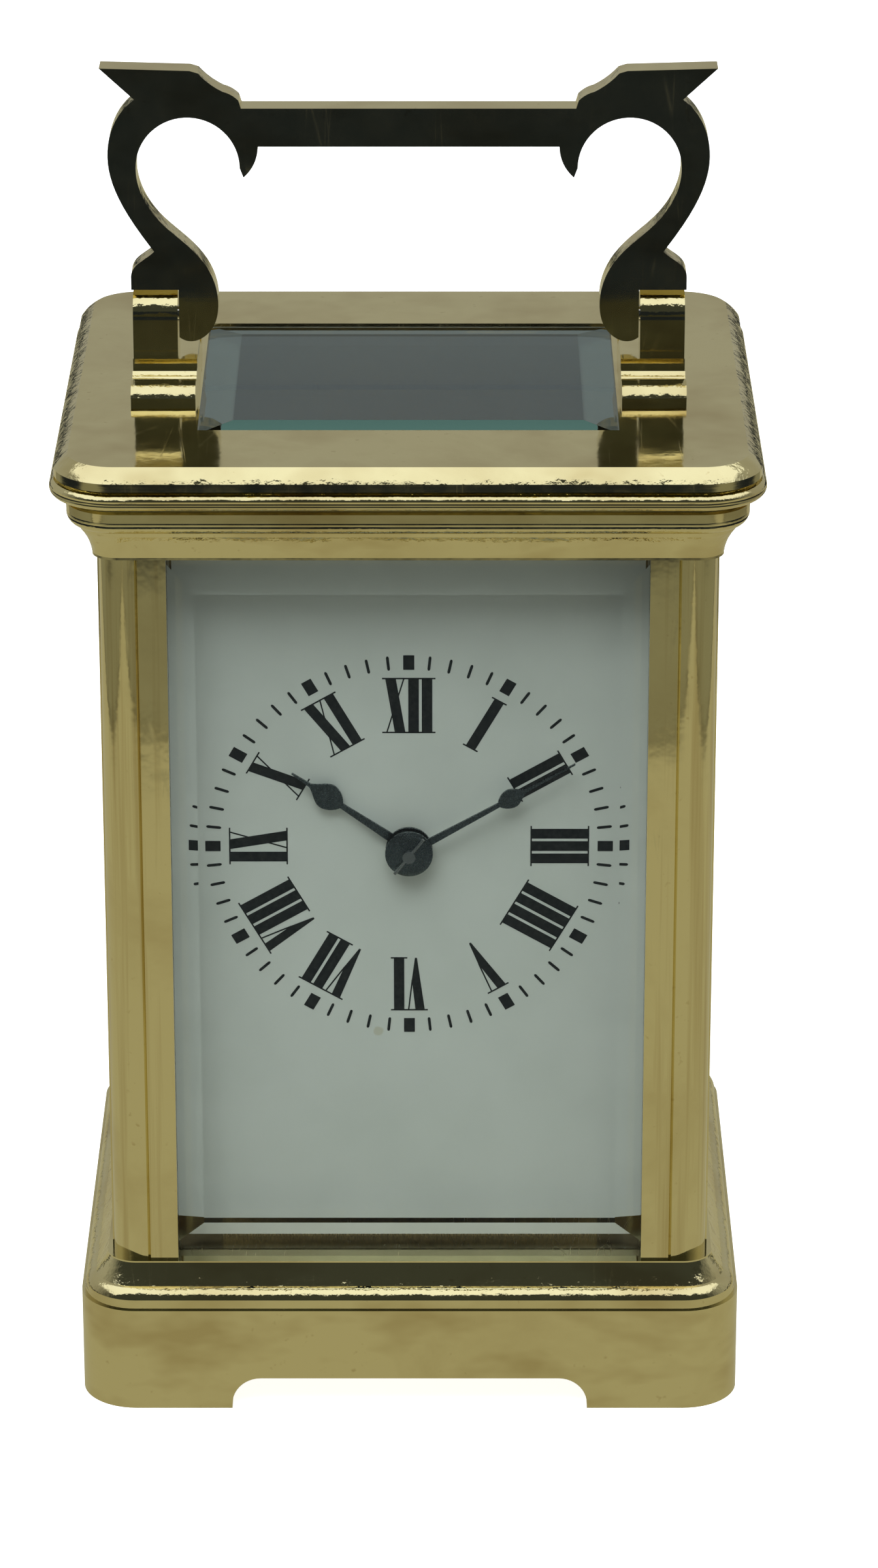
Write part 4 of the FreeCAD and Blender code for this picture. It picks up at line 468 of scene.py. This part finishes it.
def ruby_material():
    """The jewels: deep pink synthetic ruby, brighter where it is thin."""
    material, nodes = new_material("ruby")
    depth = nodes.span(nodes.noise(900.0, 2.0), 0.3, 0.8)
    shader = principled(
        nodes,
        Base_Color=nodes.blend(depth, (0.62, 0.03, 0.10), (0.45, 0.01, 0.06)),
        Roughness=0.05,
        IOR=1.76,
        Transmission_Weight=0.55,
    )
    nodes.output(shader)
    return material


def floor_for_camera(nodes):
    """A pale floor that also glows, so that the camera sees it white."""
    pale = nodes.add("ShaderNodeBsdfDiffuse", Color=(0.86, 0.86, 0.86, 1.0)).outputs["BSDF"]
    lift = nodes.add("ShaderNodeEmission", Color=(*WHITE, 1.0), Strength=FLOOR_GLOW).outputs[0]
    both = nodes.tree.nodes.new("ShaderNodeAddShader")
    nodes.put(both, 0, pale)
    nodes.put(both, 1, lift)
    return both.outputs[0]


def floor_in_brass(nodes, away):
    """The painted light that the floor's glow gives brass with distance: a lit sheet, its shaded edge, a table and
    the dark.
    """
    past_sheet = nodes.span(away, SHEET_REACH, SHEET_REACH + SHEET_FADE)
    past_edge = nodes.span(away, EDGE_REACH, EDGE_REACH + EDGE_FADE)
    past_table = nodes.span(away, TABLE_REACH, TABLE_REACH + TABLE_FADE)
    table = nodes.blend(past_table, TABLE_IN_BRASS, BEYOND_TABLE)
    return nodes.blend(past_sheet, SHEET_IN_BRASS, nodes.blend(past_edge, SHEET_EDGE, table))


def floor_material():
    """The pale table: white to the camera, and what the photograph shows in the brass and the glass."""
    material, nodes = new_material("pale_floor")
    path = nodes.add("ShaderNodeLightPath")
    place = nodes.add("ShaderNodeSeparateXYZ", Vector=nodes.place())
    ahead = nodes.maths("MULTIPLY_ADD", place.outputs["Y"], -1.0, -DEPTH / 2)
    aside = nodes.maths("SUBTRACT", nodes.maths("ABSOLUTE", place.outputs["X"]), WIDTH / 2)
    reflected = floor_in_brass(nodes, nodes.maths("MAXIMUM", ahead, aside))
    in_brass = nodes.blend(path.outputs["Is Glossy Ray"], SHEET_ON_DIAL, reflected)
    before = nodes.span(ahead, 0.0, GLASS_FADE)
    in_glass = nodes.maths("MULTIPLY", path.outputs["Is Singular Ray"], before)
    colour = nodes.blend(in_glass, in_brass, SHEET_IN_GLASS)
    # The floor glows here with painted light: a lit sheet and table with a painted shadow at the sheet's edge, the
    # sheet lighting the dial, and a dark front in the panes
    shown = nodes.add("ShaderNodeEmission", Color=colour, Strength=1.0).outputs[0]
    nodes.output(nodes.choose(path.outputs["Is Camera Ray"], shown, floor_for_camera(nodes)))
    return material


MATERIALS = {
    "case_brass": brass_material("case_brass", (60.0, 60.0, 2500.0), (55.0, 55.0, 130.0)),
    "movement_brass": movement_brass(),
    "steel": steel_material("steel", (0.60, 0.60, 0.60), (0.46, 0.46, 0.47), 0.14, 0.24),
    "blued_steel": steel_material("blued_steel", (0.17, 0.195, 0.21), (0.12, 0.14, 0.15), 0.2, 0.34),
    "glass": glass_material("glass", (0.93, 0.975, 0.96)),
    "enamel": enamel_material(),
    "ruby": ruby_material(),
}
PILLAR_BRASS = brass_material("pillar_brass", (2500.0, 2500.0, 60.0), (700.0, 700.0, 14.0))
PAINT = paint_material()


def dress_nodes():
    """Every CAD node gets the material of its slot; the pillars' grain runs upright."""
    slots = {part["node"]: part["material_slot"] for part in frame["record"]["subparts"]}
    for name, node in frame["nodes"].items():
        node.data.materials.clear()
        upright = name.startswith("pillar")
        node.data.materials.append(PILLAR_BRASS if upright else MATERIALS[slots[name]])


# ---------------------------------------------------------------------- pieces


def prism(vertices, faces, outline, bottom, top):
    """Adds a solid plate to the two lists: outline is (x, z) points, bottom and top are y."""
    first = len(vertices)
    count = len(outline)
    vertices.extend((x, bottom, z) for x, z in outline)
    vertices.extend((x, top, z) for x, z in outline)
    faces.append([first + i for i in range(count)])
    faces.append([first + count + i for i in reversed(range(count))])
    for i in range(count):
        after = (i + 1) % count
        faces.append([first + after, first + i, first + count + i, first + count + after])


def make_piece(name, vertices, faces, body, material):
    """Makes a mesh that rides on a body."""
    mesh = bpy.data.meshes.new(name)
    mesh.from_pydata(vertices, [], faces)
    mesh.validate()
    mesh.update()
    piece = bpy.data.objects.new(name, mesh)
    bpy.context.scene.collection.objects.link(piece)
    mesh.materials.append(material)
    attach(piece, body)


def on_dial(points, turn):
    """Points (across, outward) of a mark that stands on the dial, turned clockwise to its place."""
    sin, cos = math.sin(turn), math.cos(turn)
    return [
        (HANDS.x + across * cos + out * sin, HANDS.z - across * sin + out * cos)
        for across, out in points
    ]


def bar(centre, low, high, width):
    """A straight mark: its four corners, low and high being distances outward."""
    half = width / 2
    return [(centre - half, low), (centre + half, low), (centre + half, high), (centre - half, high)]


def tick(low, high, width):
    """A thin mark with rounded ends, low and high being distances outward."""
    half = width / 2
    right = [(half / 2, low), (half, low + half), (half, high - half), (half / 2, high)]
    return right + [(-across, out) for across, out in reversed(right)]


def slanted(low_centre, high_centre, width, low=NUMERAL_FOOT, high=NUMERAL_HEAD):
    """A slanted stroke, with its ends square to the dial's radius."""
    half = width / 2
    return [
        (low_centre - half, low),
        (low_centre + half, low),
        (high_centre + half, high),
        (high_centre - half, high),
    ]


def make_minute_track():
    """Makes sixty marks: a square at each hour and a thin tick at each other minute."""
    vertices, faces = [], []
    for minute in range(MINUTES):
        square = minute % (MINUTES // HOURS) == 0
        half = (SQUARE_LENGTH if square else TICK_LENGTH) / 2
        low, high = TRACK_RADIUS - half, TRACK_RADIUS + half
        mark = bar(0, low, high, SQUARE_WIDTH) if square else tick(low, high, TICK_WIDTH)
        turn = 2 * math.pi * minute / MINUTES
        prism(vertices, faces, on_dial(mark, turn), DIAL_FRONT + PAINT_ROOT, DIAL_FRONT - PAINT_RISE)
    make_piece("dial_minute_track", vertices, faces, "case", PAINT)


LETTER_WIDTH = {"I": STROKE, "V": 1.7 * STROKE, "X": 1.9 * STROKE}
ROMAN = ("XII", "I", "II", "III", "IIII", "V", "VI", "VII", "VIII", "IX", "X", "XI")


def serif(left, right, out):
    """The hairline across the foot or the head of a letter."""
    low = out - HAIRLINE / 2
    high = out + HAIRLINE / 2
    start = left - SERIF_REACH
    end = right + SERIF_REACH
    return [(start, low), (end, low), (end, high), (start, high)]


def letter(kind, left):
    """The thick strokes, the hairlines and the serifs of one letter."""
    right = left + LETTER_WIDTH[kind]
    foot = serif(left, right, NUMERAL_FOOT)
    head = serif(left, right, NUMERAL_HEAD)
    if kind == "I":
        middle = left + STROKE / 2
        return [slanted(middle, middle, STROKE)], [], [foot, head]
    if kind == "V":
        thick = [
            (left + 0.75 * STROKE, NUMERAL_FOOT),
            (left + 0.95 * STROKE, NUMERAL_FOOT),
            (left + 1.25 * STROKE, V_JOIN),
            (left + 0.90 * STROKE, NUMERAL_HEAD),
            (left, NUMERAL_HEAD),
        ]
        thin = slanted(left + 1.2 * STROKE, right - HAIRLINE, HAIRLINE, V_JOIN)
        return [thick], [thin], [head]
    thick = slanted(right - STROKE / 2, left + STROKE / 2, STROKE)
    thin = slanted(left + HAIRLINE, right - HAIRLINE, HAIRLINE)
    return [thick], [thin], [foot, head]


def make_numerals():
    """Makes twelve hours in Roman letters, heads outward: thick strokes, hairlines and serifs."""
    vertices, faces = [], []
    root = DIAL_FRONT + PAINT_ROOT
    for hour, word in enumerate(ROMAN):
        turn = 2 * math.pi * hour / HOURS
        total = sum(LETTER_WIDTH[kind] for kind in word) + STROKE_GAP * (len(word) - 1)
        left = -total / 2
        for kind in word:
            for strokes, share in zip(letter(kind, left), PAINT_SHARES):
                for stroke in strokes:
                    rise = share * PAINT_RISE
                    prism(vertices, faces, on_dial(stroke, turn), root, DIAL_FRONT - rise)
            left += LETTER_WIDTH[kind] + STROKE_GAP
    make_piece("dial_numerals", vertices, faces, "case", PAINT)


# ----------------------------------------------------------------------- stage


def make_stage():
    """A wide pale floor."""
    mesh = bpy.data.meshes.new("floor")
    corners = [(-1, -1), (1, -1), (1, 1), (-1, 1)]
    points = [(FLOOR_HALF * x, FLOOR_HALF * y, 0) for x, y in corners]
    mesh.from_pydata(points, [], [(0, 1, 2, 3)])
    floor = bpy.data.objects.new("floor", mesh)
    bpy.context.scene.collection.objects.link(floor)
    mesh.materials.append(floor_material())


def ceiling_share(nodes, x, y, z):
    """1 where a ray goes up to the bright ceiling over the clock."""
    rise = nodes.maths("MAXIMUM", z, LOWEST_RISE)
    back = nodes.maths("ADD", nodes.maths("DIVIDE", y, rise), CEILING_SHIFT)
    side = nodes.maths("DIVIDE", x, rise)
    deep = nodes.below(nodes.maths("ABSOLUTE", back), CEILING_DEEP)
    wide = nodes.below(nodes.maths("ABSOLUTE", side), CEILING_WIDE)
    return nodes.product(deep, wide)


def wall_in_glass(nodes, aside, y, z):
    """What the panes show behind the clock: a wall with a doorway and a small window."""
    window = nodes.product(
        nodes.span(z, *WINDOW_SILL),
        nodes.below(z, WINDOW_TOP),
        nodes.span(y, *WINDOW_BEHIND),
        nodes.below(aside, WINDOW_SIDE),
    )
    doorway = nodes.product(nodes.below(aside, DOORWAY_SIDE), nodes.span(z, *DOORWAY_FOOT))
    return nodes.blend(window, nodes.blend(doorway, WALL_IN_GLASS, DOORWAY), WINDOW)


def make_world():
    """White behind the clock for the camera, and for brass and glass a room round it."""
    world = bpy.data.worlds.new("studio")
    bpy.context.scene.world = world
    world.use_nodes = True
    world.node_tree.nodes.clear()
    nodes = Nodes(world.node_tree)
    direction = nodes.add("ShaderNodeTexCoord").outputs["Generated"]
    split = nodes.add("ShaderNodeSeparateXYZ", Vector=direction)
    x, y, z = (split.outputs[axis] for axis in "XYZ")
    path = nodes.add("ShaderNodeLightPath")
    in_glass = wall_in_glass(nodes, nodes.maths("ABSOLUTE", x), y, z)
    back_wall = nodes.blend(path.outputs["Is Singular Ray"], BACK_WALL, in_glass)
    walls = nodes.blend(nodes.span(y, *FRONT_TO_BACK), FRONT_WALL, back_wall)
    colour = nodes.blend(ceiling_share(nodes, x, y, z), walls, CEILING)
    room = nodes.add("ShaderNodeBackground", Color=colour, Strength=1.0).outputs[0]
    white = nodes.add("ShaderNodeBackground", Color=(*WHITE, 1.0), Strength=1.0).outputs[0]
    end = nodes.tree.nodes.new("ShaderNodeOutputWorld")
    nodes.put(end, "Surface", nodes.choose(path.outputs["Is Camera Ray"], room, white))


def softbox(name, azimuth, elevation, distance, width, height, power):
    """Hangs a rectangular lamp that looks at the middle of the clock.

    Azimuth is 0 in front and 90 at the right. The lamp has no reflection and the camera doesn't see it.
    """
    data = bpy.data.lights.new(name, "AREA")
    data.shape = "RECTANGLE"
    data.size = width
    data.size_y = height
    data.energy = power
    lamp = bpy.data.objects.new(name, data)
    bpy.context.scene.collection.objects.link(lamp)
    across, up = math.radians(azimuth), math.radians(elevation)
    away = Vector(
        (math.sin(across) * math.cos(up), -math.cos(across) * math.cos(up), math.sin(up))
    )
    lamp.location = Vector((0, 0, HEIGHT / 2)) + away * distance
    lamp.rotation_mode = "QUATERNION"
    lamp.rotation_quaternion = (-away).to_track_quat("-Z", "Y")
    lamp.visible_camera = False
    lamp.visible_glossy = False


def make_lights():
    """Soft light from overhead and the front, and a weaker one from behind."""
    softbox("overhead", azimuth=0, elevation=84, distance=1.1, width=0.9, height=0.7, power=2.9)
    softbox("front", azimuth=-12, elevation=52, distance=1.2, width=0.7, height=0.45, power=4.0)
    softbox("behind", azimuth=170, elevation=48, distance=1.3, width=0.8, height=0.4, power=1.0)


def make_camera():
    """The camera looks down at the front of the clock, a little to the right of its middle."""
    data = bpy.data.cameras.new("camera")
    data.lens = CAMERA_LENS
    data.sensor_width = CAMERA_SENSOR
    data.clip_start = 10 * MM
    data.clip_end = 100.0
    camera = bpy.data.objects.new("camera", data)
    bpy.context.scene.collection.objects.link(camera)
    camera.location = (
        CAMERA_AIM_SIDE,
        -CAMERA_DISTANCE * math.cos(CAMERA_PITCH),
        CAMERA_AIM_HEIGHT + CAMERA_DISTANCE * math.sin(CAMERA_PITCH),
    )
    camera.rotation_euler = (math.pi / 2 - CAMERA_PITCH, 0, 0)
    bpy.context.scene.camera = camera


dress_nodes()
make_minute_track()
make_numerals()
make_stage()
make_world()
make_lights()
make_camera()
bpy.context.scene.view_settings.view_transform = "Standard"
